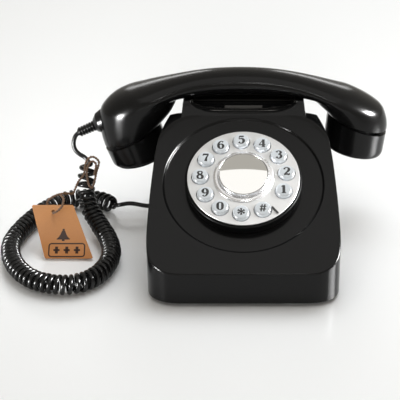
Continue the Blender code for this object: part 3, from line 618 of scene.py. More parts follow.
def caseMesh(inset, lower, bottom, fine):
    # a height grid inside the plan, a rolled edge of quarter arcs round it, then the upright wall and a flat bottom
    if fine:
        half = spread((0.0, 0.04, 0.0016), (0.04, 0.0455, 0.00032), (0.0455, 0.051, 0.0006), (0.051, 0.0545, 0.0003))
        rows = spread((-0.099, 0.02, 0.0022), (0.02, 0.0355, 0.0006), (0.0355, 0.044, 0.00028),
            (0.044, 0.047, 0.0005),
                      (0.047, 0.07, 0.0012), (0.07, 0.087, 0.00034), (0.087, 0.099, 0.001))
        outer, cornerRows = 7, 14
    else:
        half = spread((0.0, 0.04, 0.008), (0.04, 0.0545, 0.0018))
        rows = spread((-0.096, 0.02, 0.012), (0.02, 0.096, 0.0019))
        outer, cornerRows = 3, 5
    line = caseOutline(inset)
    front, rear = line[0, 1], line[-1, 1]
    bend = np.linspace(0.0, math.pi / 2, cornerRows, endpoint=False)
    rows = np.concatenate([front + (rows[0] - front) * (1 - np.cos(bend)), rows,
        rear - (rear - rows[-1]) * (1 - np.cos(bend[::-1]))])
    limit = np.interp(rows, line[:, 1], line[:, 0])
    # columns keep their own x near the saddle, and share out the width elsewhere
    shares = np.concatenate([half, 0.0545 + np.linspace(0, 1, outer + 1)[1:] * 0.0065])
    fixed = np.concatenate([np.repeat(half[None], len(rows), axis=0),
                            0.0545 + (limit - 0.0545)[:, None] * np.linspace(0, 1, outer + 1)[None, 1:]], axis=1)
    shared = limit[:, None] * (shares / shares[-1])[None]
    keep = (step((rows - 0.004) / 0.014) * step((0.0945 - rows) / 0.006))[:, None]
    keep = np.where(limit[:, None] < 0.0552, 0.0, keep)
    right = fixed * keep + shared * (1 - keep)
    x = np.concatenate([-right[:, :0:-1], right], axis=1)
    y = np.repeat(rows[:, None], x.shape[1], axis=1)
    if lower:
        reaches = [(0.0, 0.0), (0.0016, 0.0), (-0.0016, 0.0), (0.0, 0.0022), (0.0, -0.0022)]
        z = np.min([caseTop(x + dx, y + dy) for dx, dy in reaches], axis=0) - lower
    else:
        z = caseTop(x, y)
    grid = np.stack([x, y, z], axis=2)
    count, across = x.shape
    index = np.arange(count * across).reshape(count, across)
    rim = np.concatenate([index[0, :-1], index[:-1, -1], index[-1, :0:-1], index[:0:-1, 0]])
    points = grid.reshape(-1, 3)
    edge = points[rim]
    # outward direction of the rim in plan, and how steeply the top falls that way
    ahead = np.roll(edge, -1, axis=0) - np.roll(edge, 1, axis=0)
    out = np.stack([ahead[:, 1], -ahead[:, 0]], axis=1)
    out = unit(out)
    for _ in range(2):
        out = (np.roll(out, 1, axis=0) + 2 * out + np.roll(out, -1, axis=0)) / 4
    out = unit(out)
    reach = 0.0012
    fall = (caseTop(edge[:, 0] - out[:, 0] * reach, edge[:, 1] - out[:, 1] * reach) - caseTop(edge[:, 0],
        edge[:, 1])) / reach
    lean = np.clip(np.arctan(fall), 0.0, math.radians(72.0))
    roll = caseSet["edge"] if fine else 0.0002
    radius = np.minimum(roll / (1 - np.sin(lean)), 0.016)
    rings = []
    for part in np.linspace(0.0, 1.0, 8 if fine else 3)[1:]:
        turn = lean + (math.pi / 2 - lean) * part
        move = (np.sin(turn) - np.sin(lean)) * radius
        drop = (np.cos(lean) - np.cos(turn)) * radius
        rings.append(np.stack([edge[:, 0] + out[:, 0] * move, edge[:, 1] + out[:, 1] * move, edge[:, 2] - drop],
            axis=1))
    foot = rings[-1]
    for part in ((0.08, 0.35, 0.65, 0.94, 1.0) if fine else (0.5, 1.0)):
        level = foot.copy()
        level[:, 2] = foot[:, 2] * (1 - part) + bottom * part
        rings.append(level)
    sides = np.vstack(rings)
    round_ = len(rim)
    faces = gridFaces(count, across, False).tolist()
    ring = np.arange(round_)
    after = (ring + 1) % round_
    start = count * across
    faces += np.stack([rim[ring], rim[after], start + after, start + ring], axis=1).tolist()
    faces += (gridFaces(len(rings), round_, True) + start).tolist()
    faces.append((start + (len(rings) - 1) * round_ + ring).tolist())
    return outward(meshFrom(np.vstack([points, sides]), faces))


def joined(meshes):
    work = bmesh.new()
    for mesh in meshes:
        work.from_mesh(mesh)
        bpy.data.meshes.remove(mesh)
    whole = bpy.data.meshes.new("joined")
    work.to_mesh(whole)
    work.free()
    return whole


def makeCase():
    case = place("case_shell", caseMesh(caseSet["edge"], 0.0, caseSet["bottom"], True))
    cutOut(case, [place("cutter", caseMesh(caseSet["wall"] + 0.0002, caseSet["wall"], -0.004, False))])
    well = turnedMesh(rounded(caseSet["well"], 0.0006), 160, onFace())
    holes = [turnedPlug(caseSet["dialOpening"], -0.02, -0.0012, 64, onFace())]
    for side in (-1, 1):
        x, y, radius = caseSet["hookPin"]
        holes.append(turnedPlug(radius, 0.1, 0.13, 24, Matrix.Translation((side * x, y, 0.0))))
    spot, turn, radius = caseSet["gland"]
    gland = Matrix.Translation(spot) @ Matrix.Rotation(math.radians(turn), 4, "Z") @ Matrix.Rotation(-math.pi / 2,
        4, "Y")
    holes.append(turnedPlug(radius, -0.012, 0.012, 32, gland))
    cutters = [place("cutter", well), place("cutter", joined(holes))]
    cutOut(case, cutters + [blockCutter(low, high) for low, high in caseSet["slots"]])
    finish(case, caseGloss, "case", "base", 32)
    normals = case.modifiers.new("normals", "WEIGHTED_NORMAL")
    normals.keep_sharp = True
    print("case made:", len(case.data.polygons), "faces")


makeCase()


handsetSet = {
    "body": (
        ((-0.0722, 0.0869), (-0.1198, 0.0639), 0.0264), ((-0.0668, 0.0925), (-0.1228, 0.076), 0.0272),
        ((-0.062, 0.0985), (-0.1238, 0.087), 0.0274), ((-0.059, 0.104), (-0.1231, 0.098), 0.0272),
        ((-0.0572, 0.108), (-0.1187, 0.1056), 0.0266), ((-0.056, 0.11), (-0.1114, 0.1123), 0.0257),
        ((-0.0545, 0.1109), (-0.1022, 0.117), 0.0245), ((-0.0528, 0.1113), (-0.0915, 0.1202), 0.023),
        ((-0.0508, 0.1113), (-0.08, 0.1235), 0.0213), ((-0.0484, 0.1113), (-0.068, 0.1265), 0.0197),
        ((-0.044, 0.1116), (-0.0555, 0.1293), 0.0184), ((-0.036, 0.1123), (-0.042, 0.132), 0.0174),
        ((-0.024, 0.113), (-0.027, 0.1341), 0.0168), ((-0.012, 0.1132), (-0.013, 0.135), 0.0165),
        ((0.0, 0.1133), (0.0, 0.1352), 0.0165), ((0.012, 0.1132), (0.013, 0.1348), 0.0165),
        ((0.024, 0.113), (0.027, 0.1335), 0.0168), ((0.036, 0.1123), (0.042, 0.131), 0.0174),
        ((0.044, 0.1116), (0.056, 0.1279), 0.0184), ((0.049, 0.1113), (0.069, 0.1244), 0.0197),
        ((0.0518, 0.1113), (0.082, 0.1206), 0.0213), ((0.0542, 0.1113), (0.0935, 0.117), 0.023),
        ((0.0565, 0.1108), (0.104, 0.1118), 0.0245), ((0.0588, 0.1096), (0.1124, 0.1066), 0.0257),
        ((0.0612, 0.1076), (0.119, 0.101), 0.0264), ((0.064, 0.1052), (0.1224, 0.0935), 0.0268),
        ((0.0676, 0.102), (0.1238, 0.0862), 0.027), ((0.0722, 0.097), (0.1234, 0.0786), 0.027),
    ),
    "mouthCap": (
        ((-0.0721, 0.0866), (-0.1197, 0.0636), 0.0264), ((-0.0655, 0.065), (-0.115, 0.0515), 0.0256),
        ((-0.066, 0.0622), (-0.1138, 0.049), 0.0248), ((-0.068, 0.0612), (-0.1115, 0.0494), 0.0226),
        ((-0.068, 0.059), (-0.111, 0.0474), 0.0224), ((-0.0695, 0.058), (-0.1095, 0.0472), 0.0208),
    ),
    "earCap": (
        ((0.0721, 0.0967), (0.1233, 0.0783), 0.027), ((0.07, 0.0725), (0.1213, 0.062), 0.0262),
        ((0.0702, 0.0695), (0.1206, 0.0595), 0.0256), ((0.0712, 0.0676), (0.1194, 0.058), 0.0246),
        ((0.074, 0.0662), (0.1166, 0.0577), 0.0217),
    ),
    "y": 0.058, "around": 96, "bodyRings": 170,
    "hollow": ((0.0, -0.004), (0.021, -0.004), (0.0195, 0.012), (0.0, 0.012)),
    "dish": (0.92, 0.8, 0.62, 0.4, 0.18),
    "soundHoles": ((0.0, 1), (0.0075, 6)),
}


def ovalRings(values, around):
    # an oval through each inner and outer edge, in their plane and the y axis
    inner, outer, wide = values[:, 0:2], values[:, 2:4], values[:, 4]
    middle, reach = (inner + outer) / 2, (outer - inner) / 2
    angle = np.linspace(0.0, 2 * math.pi, around, endpoint=False)
    x = middle[:, :1] + reach[:, :1] * np.cos(angle)
    z = middle[:, 1:] + reach[:, 1:] * np.cos(angle)
    y = handsetSet["y"] + wide[:, None] * np.sin(angle)
    return np.stack([x, y, z], axis=2)


def flatSections(sections):
    return np.array([(*inner, *outer, wide) for inner, outer, wide in sections])


def shrunk(ring, amount):
    # a ring drawn in towards its own middle by a length
    middle = ring.mean(axis=0)
    away = ring - middle
    size = np.linalg.norm(away, axis=1, keepdims=True)
    return middle + away * (1 - amount / size)


def easedEnds(rings, first, last):
    # rounds the end rims: each extra ring is drawn in along a quarter arc
    out = list(rings)
    for amount, at, side in ((first, 0, 1), (last, -1, -1)):
        if amount:
            base = out[at]
            axis = out[at].mean(axis=0) - out[at + side].mean(axis=0)
            axis /= np.linalg.norm(axis)
            for turn in np.radians((25.0, 50.0, 75.0, 90.0)):
                ring = shrunk(base, amount * (1 - math.cos(turn))) + axis * amount * (math.sin(turn) - 1)
                out = [ring] + out if at == 0 else out + [ring]
    return np.array(out)


def sectionFrame(section):
    inner = Vector((section[0][0], handsetSet["y"], section[0][1]))
    outer = Vector((section[1][0], handsetSet["y"], section[1][1]))
    xAxis = (outer - inner).normalized()
    yAxis = Vector((0.0, 1.0, 0.0))
    zAxis = xAxis.cross(yAxis).normalized()
    if zAxis.z > 0.0:
        zAxis, yAxis = -zAxis, -yAxis
    made = Matrix((xAxis, yAxis, zAxis)).transposed().to_4x4()
    made.translation = (inner + outer) / 2
    return made


def capRings(sections):
    # straight from ring to ring, eased twice below the first stretch, with rounded rims and a shallow dish at the end
    flat = flatSections(sections)
    steps = [18] + [4] * (len(flat) - 2)
    rings = [a + (b - a) * t for a, b, n in zip(flat, flat[1:], steps) for t in np.linspace(0, 1, n, endpoint=False)]
    rings = np.array(rings + [flat[-1]])
    for _ in range(2):
        rings[19:-1] = (rings[18:-2] + 2 * rings[19:-1] + rings[20:]) / 4
    rings = easedEnds(ovalRings(rings, handsetSet["around"]), 0.0004, 0.0012)
    last = rings[-1]
    middle = last.mean(axis=0)
    dish = [middle + (last - middle) * share for share in handsetSet["dish"]]
    return np.concatenate([rings, np.array(dish)])


def makeHandset():
    sections = handsetSet["body"]
    rings = ovalRings(smoothLine(flatSections(sections), handsetSet["bodyRings"]), handsetSet["around"])
    body = place("handset_shell", tubeMesh(easedEnds(rings[2:-2], 0.0005, 0.0005)))
    bores = [turnedPlug(0.02, -0.011, 0.006, 48, sectionFrame(sections[end])) for end in (0, -1)]
    cutOut(body, [place("cutter", joined(bores))])
    finish(body, handsetGloss, "handset_body", "handset", 40)
    for node, key in (("mouth_cap", "mouthCap"), ("ear_cap", "earCap")):
        sections = handsetSet[key]
        cap = place(node + "_shell", tubeMesh(capRings(sections)))
        cutters = [turnedMesh(handsetSet["hollow"], 48, sectionFrame(sections[0]))]
        for ringRadius, number in handsetSet["soundHoles"]:
            for turn in np.arange(number) * math.tau / number:
                spot = Matrix.Translation((ringRadius * math.cos(turn), ringRadius * math.sin(turn), 0.0))
                cutters.append(turnedPlug(0.0013, -0.02, 0.005, 16, sectionFrame(sections[-1]) @ spot))
        cutOut(cap, [place("cutter", joined(cutters))])
        finish(cap, handsetGloss, node, "handset", 40)
    print("handset made")


makeHandset()

reliefSet = {
    "start": (-0.1236, 0.058, 0.0853), "end": (-0.1423, 0.058, 0.0766),
    "ribs": 6, "first": 0.0058, "pitch": 0.0026, "wide": 0.0046, "taper": 0.00008, "groove": 0.0014,
    "root": ((0.0, -0.0055), (0.0112, -0.0055), (0.0097, 0.0006), (0.0074, 0.003), (0.0062, 0.0046),
    (0.0036, 0.0052)),
}


def makeRelief():
    # a cone off the handset, then ribs that shrink towards the cord
    start, end = Vector(reliefSet["start"]), Vector(reliefSet["end"])
    outline = list(reliefSet["root"])
    for rib in range(reliefSet["ribs"]):
        at = reliefSet["first"] + rib * reliefSet["pitch"]
        wide = reliefSet["wide"] - rib * reliefSet["taper"]
        low = wide - reliefSet["groove"]
        outline += [(low, at), (wide, at + 0.0002), (wide, at + 0.0014), (low, at + 0.0016)]
    tip = (end - start).length + 0.001
    outline += [(0.003, tip), (0.0, tip)]
    turn = Vector((0.0, 0.0, 1.0)).rotation_difference((end - start).normalized()).to_matrix().to_4x4()
    mesh = turnedMesh(rounded(outline, 0.0004), 40, Matrix.Translation(start) @ turn)
    finish(place("strain_relief", mesh), cordPlastic, "handset_strain_relief", "handset", 50)


makeRelief()


dialSet = {
    "buttonRing": 0.0346, "button": 0.00665, "hole": 0.0073, "firstAngle": -23.0, "stepAngle": 29.0,
    "labels": (("1", "1"), ("2", "2"), ("3", "3"), ("4", "4"), ("5", "5"), ("6", "6"), ("7", "7"), ("8", "8"),
    ("9", "9"),
               ("0", "0"), ("star", "*"), ("hash", "#")),
    # each outline is (radius, height above the face)
    "housing": ((0.0, 0.005), (0.0445, 0.005), (0.0445, -0.0012), (0.047, -0.0012), (0.047, 0.0062),
    (0.0464, 0.007), (0.0, 0.007)),
    "plate": ((0.0, 0.0073), (0.045, 0.0073), (0.045, 0.0085), (0.0, 0.0085)),
    "rim": ((0.0, 0.0088), (0.0206, 0.0088), (0.0206, 0.0122), (0.0202, 0.0136), (0.0196, 0.0136), (0.0194, 0.0124),
    (0.0, 0.0124)),
    "collar": ((0.0207, 0.0087), (0.0243, 0.0087), (0.0243, 0.0093), (0.0226, 0.0101), (0.0207, 0.0101),
    (0.0207, 0.0087)),
    "mirror": ((0.0, 0.0127), (0.0192, 0.0127), (0.0192, 0.01325), (0.0, 0.0133)),
}


def buttonPlaces():
    for number, (name, mark) in enumerate(dialSet["labels"]):
        angle = math.radians(dialSet["firstAngle"] + dialSet["stepAngle"] * number)
        yield name, mark, dialSet["buttonRing"] * math.cos(angle), dialSet["buttonRing"] * math.sin(angle)


def makeDial():
    housing = place("dial_ring", turnedMesh(rounded(dialSet["housing"], 0.0005), 160, onFace()))
    plate = place("number_plate", turnedMesh(rounded(dialSet["plate"], 0.0004, 5), 160, onFace()))
    for item in (housing, plate):
        holes = [turnedPlug(dialSet["hole"], -0.01, 0.02, 40, onFace(x, y)) for name, mark, x, y in buttonPlaces()]
        cutOut(item, [place("cutter", joined(holes))])
    finish(housing, ringBlack, "dial_housing", "base")
    finish(plate, silverPlate, "dial_plate", "base")
    rim = turnedMesh(rounded(dialSet["rim"], 0.0007, 6), 128, onFace())
    finish(place("chrome_rim", rim), chromeMetal, "centre_bezel", "base", 60)
    collar = turnedRing(rounded(dialSet["collar"], 0.0003, 5), 160, onFace())
    finish(place("chrome_collar", collar), softChrome, None, "base", 60)
    disc = turnedMesh(rounded(dialSet["mirror"], 0.0002, 3), 128, onFace())
    finish(place("mirror_disc", disc), mirrorSilver(), "centre_disc", "base", 60)


makeDial()

buttonSet = {
    "rise": 0.0118, "dome": 0.0005, "roll": 0.0014, "rollFrom": 0.76, "rollOver": 0.24,
    "foot": 0.0036, "collar": 0.0074, "collarTop": 0.0046,
    "legendTall": 0.0076, "legendThick": 0.0003, "legendWeight": 1.28,
}

# each mark is strokes of (x, y, width) in heights of the mark, with thick downstrokes and thin turns
legendStrokes = {
    "1": (((0.0, 0.03, 0.23), (0.0, 0.98, 0.23)), ((-0.24, 0.8, 0.07), (0.0, 0.96, 0.1)),
    ((-0.24, 0.035, 0.08), (0.24, 0.035, 0.08))),
    "2": (((-0.24, 0.72, 0.2), (-0.2, 0.88, 0.11), (0.0, 0.96, 0.08), (0.2, 0.86, 0.17), (0.24, 0.68, 0.23),
    (0.1, 0.44, 0.16),
           (-0.14, 0.24, 0.09), (-0.28, 0.06, 0.07)), ((-0.28, 0.08, 0.15), (0.0, 0.13, 0.15), (0.26, 0.07, 0.15)),
          ((0.29, 0.03, 0.07), (0.31, 0.26, 0.06))),
    "3": (((-0.24, 0.78, 0.19), (-0.12, 0.94, 0.08), (0.06, 0.96, 0.09), (0.21, 0.8, 0.22), (0.14, 0.6, 0.14),
    (-0.06, 0.53, 0.07)),
          ((-0.06, 0.53, 0.07), (0.18, 0.45, 0.16), (0.25, 0.26, 0.23), (0.12, 0.06, 0.13), (-0.1, 0.03, 0.08),
          (-0.25, 0.2, 0.2))),
    "4": (((0.1, 0.96, 0.07), (-0.32, 0.3, 0.07)), ((-0.34, 0.28, 0.09), (0.34, 0.28, 0.09)),
    ((0.12, 0.98, 0.22), (0.12, 0.03, 0.22)),
          ((-0.08, 0.035, 0.07), (0.32, 0.035, 0.07))),
    "5": (((-0.2, 0.92, 0.15), (0.26, 0.93, 0.15)), ((-0.2, 0.96, 0.07), (-0.23, 0.56, 0.07)),
          ((-0.23, 0.56, 0.07), (0.0, 0.63, 0.11), (0.21, 0.52, 0.2), (0.25, 0.3, 0.23), (0.13, 0.07, 0.13),
          (-0.08, 0.03, 0.08),
           (-0.25, 0.18, 0.18))),
    "6": (((0.24, 0.84, 0.15), (0.1, 0.96, 0.08), (-0.1, 0.88, 0.12), (-0.24, 0.6, 0.2), (-0.24, 0.28, 0.22),
    (-0.1, 0.06, 0.13),
           (0.04, 0.03, 0.08)), ((-0.2, 0.44, 0.07), (0.0, 0.59, 0.09), (0.21, 0.48, 0.18), (0.24, 0.28, 0.22),
           (0.14, 0.08, 0.13),
                                 (0.0, 0.03, 0.08))),
    "7": (((-0.28, 0.91, 0.17), (0.28, 0.91, 0.17)), ((-0.28, 0.97, 0.07), (-0.3, 0.7, 0.06)),
          ((0.28, 0.88, 0.08), (0.08, 0.52, 0.14), (-0.02, 0.05, 0.24))),
    "8": (((0.0, 0.96, 0.08), (-0.19, 0.88, 0.15), (-0.2, 0.7, 0.17), (0.0, 0.55, 0.13), (0.19, 0.7, 0.12),
    (0.18, 0.88, 0.13),
           (0.0, 0.96, 0.08)), ((0.0, 0.55, 0.1), (-0.23, 0.4, 0.17), (-0.23, 0.15, 0.17), (0.0, 0.03, 0.08),
           (0.23, 0.14, 0.2),
                                (0.22, 0.38, 0.22), (0.0, 0.55, 0.11))),
    "0": (((0.0, 0.97, 0.07), (-0.21, 0.8, 0.18), (-0.25, 0.5, 0.23), (-0.21, 0.2, 0.18), (0.0, 0.03, 0.07),
    (0.21, 0.2, 0.18),
           (0.25, 0.5, 0.23), (0.21, 0.8, 0.18), (0.0, 0.97, 0.07)),),
    "*": tuple(((0.4 * math.cos(t), 0.5 + 0.4 * math.sin(t), 0.2), (0.0, 0.5, 0.07),
                (-0.4 * math.cos(t), 0.5 - 0.4 * math.sin(t), 0.2)) for t in (math.pi / 2, math.pi / 6,
                -math.pi / 6)),
    "#": (((-0.2, 0.06, 0.11), (-0.06, 0.94, 0.11)), ((0.08, 0.06, 0.11), (0.22, 0.94, 0.11)),
    ((-0.34, 0.34, 0.1), (0.32, 0.34, 0.1)),
          ((-0.3, 0.66, 0.1), (0.36, 0.66, 0.1))),
}
legendStrokes["9"] = tuple(tuple((-x, 1 - y, wide) for x, y, wide in stroke) for stroke in legendStrokes["6"])


def legendMesh(mark):
    # a flat ribbon along each stroke, as wide as the stroke says, given a thickness and laid on the dome
    tall, thick = buttonSet["legendTall"], buttonSet["legendThick"]
    pieces = []
    for lift, stroke in enumerate(legendStrokes[mark]):
        line = smoothLine(stroke, 10 * len(stroke)) if len(stroke) > 2 else np.linspace(stroke[0], stroke[1], 8)
        spine, wide = line[:, :2] - np.array([0.0, 0.5]), line[:, 2:] * buttonSet["legendWeight"]
        ahead = unit(np.gradient(spine, axis=0))
        across = np.stack([-ahead[:, 1], ahead[:, 0]], axis=1) * wide / 2
        flat = np.stack([spine + across, spine + across / 3, spine - across / 3, spine - across], axis=1) * tall
        level = domeHeight(np.hypot(flat[..., 0], flat[..., 1])) + 0.00002 * lift
        above = np.concatenate([flat, (level + 0.00006)[..., None]], axis=2)
        below = np.concatenate([flat, (level - thick)[..., None]], axis=2)[:, ::-1]
        pieces.append(tubeMesh(np.concatenate([above, below], axis=1)))
    return joined(pieces)


def domeHeight(radius):
    # the button's top: a shallow dome that rolls over near its rim
    share = np.clip(radius / dialSet["button"], 0.0, 1.0)
    rolled = np.clip((share - buttonSet["rollFrom"]) / buttonSet["rollOver"], 0, 1)
    return buttonSet["rise"] - buttonSet["dome"] * share ** 2 - buttonSet["roll"] * rolled ** 2.4


def makeButtons():
    legendInk = plainRubber("legend_ink", (0.006, 0.006, 0.007), 0.5)
    white = buttonWhite()
    radii = np.linspace(0.0, dialSet["button"], 22)
    for name, mark, x, y in buttonPlaces():
        foot, collar, top = buttonSet["foot"], buttonSet["collar"], buttonSet["collarTop"]
        profile = [(0.0, foot), (collar, foot), (collar, top), (dialSet["button"], top + 0.0001)]
        profile += [(r, h) for r, h in zip(radii[::-1], domeHeight(radii[::-1]))]
        button = place("button_%s_cap" % name, turnedMesh(profile, 48, onFace(x, y)))
        finish(button, white, "button_" + name, "key_" + name)
        legend = place("legend_" + name, legendMesh(mark))
        legend.data.transform(onFace(x, y))
        finish(legend, legendInk, None, "key_" + name, 30)
    print("dial and buttons made")


makeButtons()


tagSet = {
    "holeRadius": 0.0016,
    "centre": (-0.152, -0.0148, 0.0178), "lean": 45.0, "thick": 0.0018,
    "outline": ((-0.012, -0.0232), (0.0258, -0.0232), (0.0268, -0.0222), (0.009, 0.0222), (0.008, 0.0232),
                (-0.025, 0.0232), (-0.026, 0.0222), (-0.0132, -0.0222)),
    "hole": (-0.0078, 0.0172),
    "stampTone": (0.045, 0.015, 0.006), "stampDeep": 0.0002,
    "frame": (0.005, -0.0162, 0.0148, 0.0056), "frameLine": 0.0011,
    "lozenge": 0.0024, "bell": (0.0017, -0.0078, 0.01),
}


def leatherTan():
    made = Material("leather_tan", (0.62, 0.27, 0.085), 0.0, 0.55)
    spot = made.where()
    cells = made.add("ShaderNodeTexVoronoi", {"feature": "DISTANCE_TO_EDGE"}, {"Vector": spot, "Scale": 1300.0})
    fine = made.noise(spot, 900.0, 4.0)
    cloud = made.noise(spot, 55.0, 3.0)
    x, y, z = made.parts(spot)
    tone = made.mix(cloud, (0.66, 0.275, 0.078), (0.78, 0.355, 0.115))
    # painted shade: the tag is darkened by height, most towards its lower part near the floor
    tone = made.mix((z * 34.0).clamp(), (0.55, 0.215, 0.058), tone)
    made.feed("Base Color", made.mix((fine * 0.5).clamp(), tone, (0.56, 0.22, 0.07)))
    made.feed("Roughness", (fine * 0.2 + 0.42).clamp())
    made.bump(cells * 2.0 + fine * 0.6, 0.3, 0.0003)
    return made.made


def ribbon(points, width):
    # a flat strip along the points, its lower face sunk into the leather
    line = np.array(points, float)
    ahead = np.gradient(line, axis=0)
    ahead /= np.linalg.norm(ahead, axis=1, keepdims=True)
    across = np.stack([-ahead[:, 1], ahead[:, 0]], axis=1) * width / 2
    flat = np.stack([line + across, line + across / 3, line - across / 3, line - across], axis=1)
    top = np.full(flat.shape[:2] + (1,), tagSet["thick"] / 2 + 0.00008)
    above = np.concatenate([flat, top], axis=2)
    below = np.concatenate([flat, top - tagSet["stampDeep"]], axis=2)[:, ::-1]
    return tubeMesh(np.concatenate([above, below], axis=1))


def stampPieces():
    # a rounded frame with three lozenges in it and a bell above
    u, v, halfWide, halfTall = tagSet["frame"]
    line = tagSet["frameLine"]
    bend = 0.0022
    turn = np.linspace(0.0, math.pi / 2, 7)
    ring = []
    for corner, (sx, sy) in enumerate(((1, 1), (-1, 1), (-1, -1), (1, -1))):
        angle = turn + corner * math.pi / 2
        ring += list(zip(u + sx * (halfWide - bend) + bend * np.cos(angle),
            v + sy * (halfTall - bend) + bend * np.sin(angle)))
    pieces = [ribbon(ring + ring[:2], line)]
    for shift in (-0.0085, 0.0, 0.0085):
        pieces.append(ribbon([(u + shift, v - 0.003), (u + shift, v + 0.003)], tagSet["lozenge"]))
        pieces.append(ribbon([(u + shift - 0.0026, v), (u + shift + 0.0026, v)], tagSet["lozenge"] * 0.7))
    u, low, tall = tagSet["bell"]
    for part in range(9):
        share = part / 8
        wide = 0.0028 + 0.0062 * (1 - share) ** 2.2 + 0.002 * math.sqrt(max(0.0, 1 - share))
        at = low + 0.0012 + share * tall * 0.66
        pieces.append(ribbon([(u - wide / 2, at), (u + wide / 2, at)], tall * 0.66 / 7.0))
    pieces.append(ribbon([(u, low + tall * 0.76), (u, low + tall)], 0.0018))
    pieces.append(ribbon([(u, low - 0.0006), (u, low + 0.001)], 0.0024))
    return pieces


def makeTag():
    leather = leatherTan()
    mesh = bpy.data.meshes.new("hang_tag")
    outline = tagSet["outline"]
    half = tagSet["thick"] / 2
    count = len(outline)
    points = [(x, y, z) for z in (-half, half) for x, y in outline]
    faces = [tuple(range(count))[::-1], tuple(range(count, 2 * count))]
    faces += [(k, (k + 1) % count, count + (k + 1) % count, count + k) for k in range(count)]
    mesh.from_pydata(points, [], faces)
    lean = Matrix.Translation(tagSet["centre"]) @ Matrix.Rotation(math.radians(tagSet["lean"]), 4, "X")
    tag = place("hang_tag", outward(mesh))
    hole = turnedPlug(tagSet["holeRadius"], -0.01, 0.01, 32, Matrix.Translation((*tagSet["hole"], 0.0)))
    cutOut(tag, [place("cutter", hole)])
    tag.data.transform(lean)
    finish(tag, leather, "leather_tag", "base")
    stamp = joined(stampPieces())
    stamp.transform(lean)
    burnt = plainRubber("burnt_leather", tagSet["stampTone"], 0.6)
    finish(place("tag_stamp", stamp), burnt, None, "base")
    print("tag made")


makeTag()

stringSet = {
    "route": (
        (-0.1542, 0.006, 0.0419), (-0.151, 0.001, 0.0402), (-0.1518, -0.005, 0.0369), (-0.155, -0.0082, 0.0341),
        (-0.1585, -0.007, 0.0318), (-0.1598, -0.0036, 0.03), (-0.1604, 0.0006, 0.0284), (-0.164, 0.0038, 0.03),
        (-0.1662, 0.0065, 0.0335), (-0.164, 0.0098, 0.0362), (-0.1577, 0.015, 0.0375), (-0.1512, 0.022, 0.035),
        (-0.1473, 0.0275, 0.032), (-0.1457, 0.0306, 0.0345), (-0.1425, 0.0335, 0.041), (-0.1378, 0.035, 0.047),
        (-0.136, 0.0385, 0.056), (-0.1325, 0.0402, 0.0605), (-0.1285, 0.0408, 0.0605), (-0.125, 0.0415, 0.0555),
        (-0.127, 0.038, 0.048), (-0.129, 0.033, 0.04), (-0.1312, 0.031, 0.0362), (-0.134, 0.0318, 0.04),
        (-0.135, 0.0345, 0.051), (-0.1312, 0.0372, 0.058), (-0.1272, 0.0382, 0.055), (-0.1288, 0.0345, 0.0465),
    ),
    "strand": 0.00062, "offset": 0.00048, "twist": 0.0048,
}


def twineBrown():
    made = Material("twine_brown", (0.2, 0.1, 0.045), 0.0, 0.75)
    spot = made.where()
    fibre = made.noise(spot, 2400.0, 4.0)
    made.feed("Base Color", made.mix(fibre, (0.09, 0.04, 0.018), (0.33, 0.18, 0.085)))
    made.feed("Roughness", (fibre * 0.2 + 0.62).clamp())
    made.bump(fibre, 0.35, 0.0002)
    return made.made


def makeString():
    # two strands wound round one line, each a circle swept along its helix
    line = smoothLine(stringSet["route"], 560)
    run = np.concatenate([[0.0], np.cumsum(np.linalg.norm(np.diff(line, axis=0), axis=1))])
    forward = np.gradient(line, axis=0)
    forward /= np.linalg.norm(forward, axis=1, keepdims=True)
    side = np.cross(forward, np.array([0.35, 0.8, 0.48]))
    side /= np.linalg.norm(side, axis=1, keepdims=True)
    for k in range(1, len(side)):
        if (side[k] * side[k - 1]).sum() < 0:
            side[k] = -side[k]
    up = np.cross(forward, side)
    angle = np.linspace(0.0, 2 * math.pi, 8, endpoint=False)
    strands = []
    for half in (0.0, math.pi):
        turn = run / stringSet["twist"] * 2 * math.pi + half
        centre = line + stringSet["offset"] * (side * np.cos(turn)[:, None] + up * np.sin(turn)[:, None])
        rings = centre[:, None] + stringSet["strand"] * (side[:, None] * np.cos(angle)[None, :, None] + up[:,
            None] * np.sin(angle)[None, :, None])
        strands.append(tubeMesh(rings))
    item = place("tag_twine", joined(strands))
    dress(item, twineBrown())
    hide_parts("tag_string")
    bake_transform(item)
    print("string length %.3f m" % run[-1])


makeString()


keptFinish = {
    "foot_": footRubber, "case_screw_": steelMetal, "base_plate": steelMetal, "ballast_weight": steelMetal,
    "cord_gland": cordPlastic, "finger_stop": matteBlack, "hook_key": caseGloss, "line_socket": keyPlastic,
    "ringer_switch": keyPlastic, "gong_l": brassMetal, "gong_r": brassMetal, "gong_screw": steelMetal,
    "ringer_coil": brassMetal, "ringer_frame": steelMetal, "clapper": steelMetal, "microphone": steelMetal,
    "earphone": steelMetal, "main_board": boardGreen, "keypad_board": boardGreen, "keypad_mat": matteBlack,
    "microswitch": keyPlastic, "return_spring": steelMetal, "switch_bracket": steelMetal, "switch_lever": steelMetal,
}
for item in list(bpy.data.objects):
    for start, material in keptFinish.items():
        if item.type == "MESH" and item.name.startswith(start) and not item.name.endswith("_cap"):
            item.data.materials.clear()
            item.data.materials.append(material)
print("kept pieces finished")


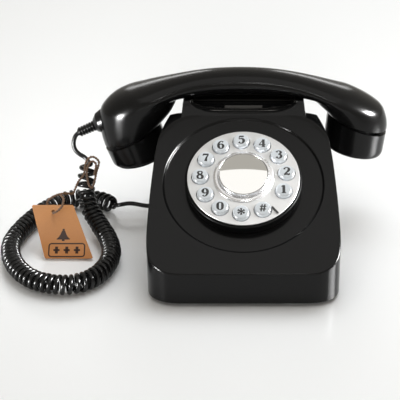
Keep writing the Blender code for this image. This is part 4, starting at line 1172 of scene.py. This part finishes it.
# each light is its name, place, aim, width, height and watts
roomSet = {
    "floor": (0.86, 0.865, 0.875), "sky": (0.45, 0.43, 0.39), "skyLevel": 1.0, "floorHalf": 4, "floorLevel": -0.0006,
    "card": ("top card", (0.0, -0.4, 1.3), (0.0, -0.4, 0.0), 1.2, 1.11, 2.6),
    "fill": ("fill", (0.4, 0.85, 1.8), (0.0, 0.3, 0.0), 1.6, 1.6, 31.0),
    "fillColour": (0.95, 0.98, 1.0),
    "glints": (
        ("left box", (-0.95, -0.72, 0.06), (-0.1, 0.04, 0.1), 0.32, 0.32, 46.0),
        ("right box", (1.05, -0.1, 0.57), (0.1, 0.04, 0.1), 0.4, 0.4, 110.0),
        ("front strip", (0.1, -1.0, 1.02), (0.0, 0.04, 0.1), 0.16, 0.08, 0.8),
        ("front card", (0.0, -1.6, 0.14), (0.0, 0.0, 0.1), 1.0, 0.2, 0.5),
        ("left back card", (-0.33, 1.16, 0.57), (0.0, 0.0, 0.1), 0.34, 0.2, 1.0),
        ("right back card", (0.33, 1.16, 0.57), (0.0, 0.0, 0.1), 0.34, 0.2, 1.0),
    ),
}


def areaLight(name, spot, aim, wide, tall, power):
    data = bpy.data.lights.new(name, "AREA")
    data.shape = "RECTANGLE"
    data.size, data.size_y = wide, tall
    data.energy = power
    item = bpy.data.objects.new(name, data)
    bpy.context.scene.collection.objects.link(item)
    item.location = spot
    item.rotation_euler = (Vector(aim) - Vector(spot)).to_track_quat("-Z", "Y").to_euler()
    return item


def makeRoom():
    made = Material("floor_paper", roomSet["floor"], 0.0, 0.35)
    grain = made.noise(made.where(), 160.0, 3.0)
    made.feed("Roughness", (grain * 0.05 + 0.3).clamp())
    half, level = roomSet["floorHalf"], roomSet["floorLevel"]
    corners = [(x * half, y * half, level) for x, y in ((-1, -1), (1, -1), (1, 1), (-1, 1))]
    sheet = place("floor_sheet", meshFrom(np.array(corners), [(0, 1, 2, 3)]))
    dress(sheet, made.made)
    world = bpy.data.worlds.new("room")
    bpy.context.scene.world = world
    world.use_nodes = True
    sky = world.node_tree.nodes["Background"]
    sky.inputs[0].default_value = (*roomSet["sky"], 1.0)
    sky.inputs[1].default_value = roomSet["skyLevel"]
    bpy.context.scene.view_settings.view_transform = "Standard"
    # the card overhead only fills half of the mirror; the fill behind it is kept out of the gloss
    areaLight(*roomSet["card"])
    fill = areaLight(*roomSet["fill"])
    fill.data.color = roomSet["fillColour"]
    fill.visible_glossy = False
    # these only show in the gloss
    for light in roomSet["glints"]:
        areaLight(*light).visible_diffuse = False
    print("room lit")


makeRoom()
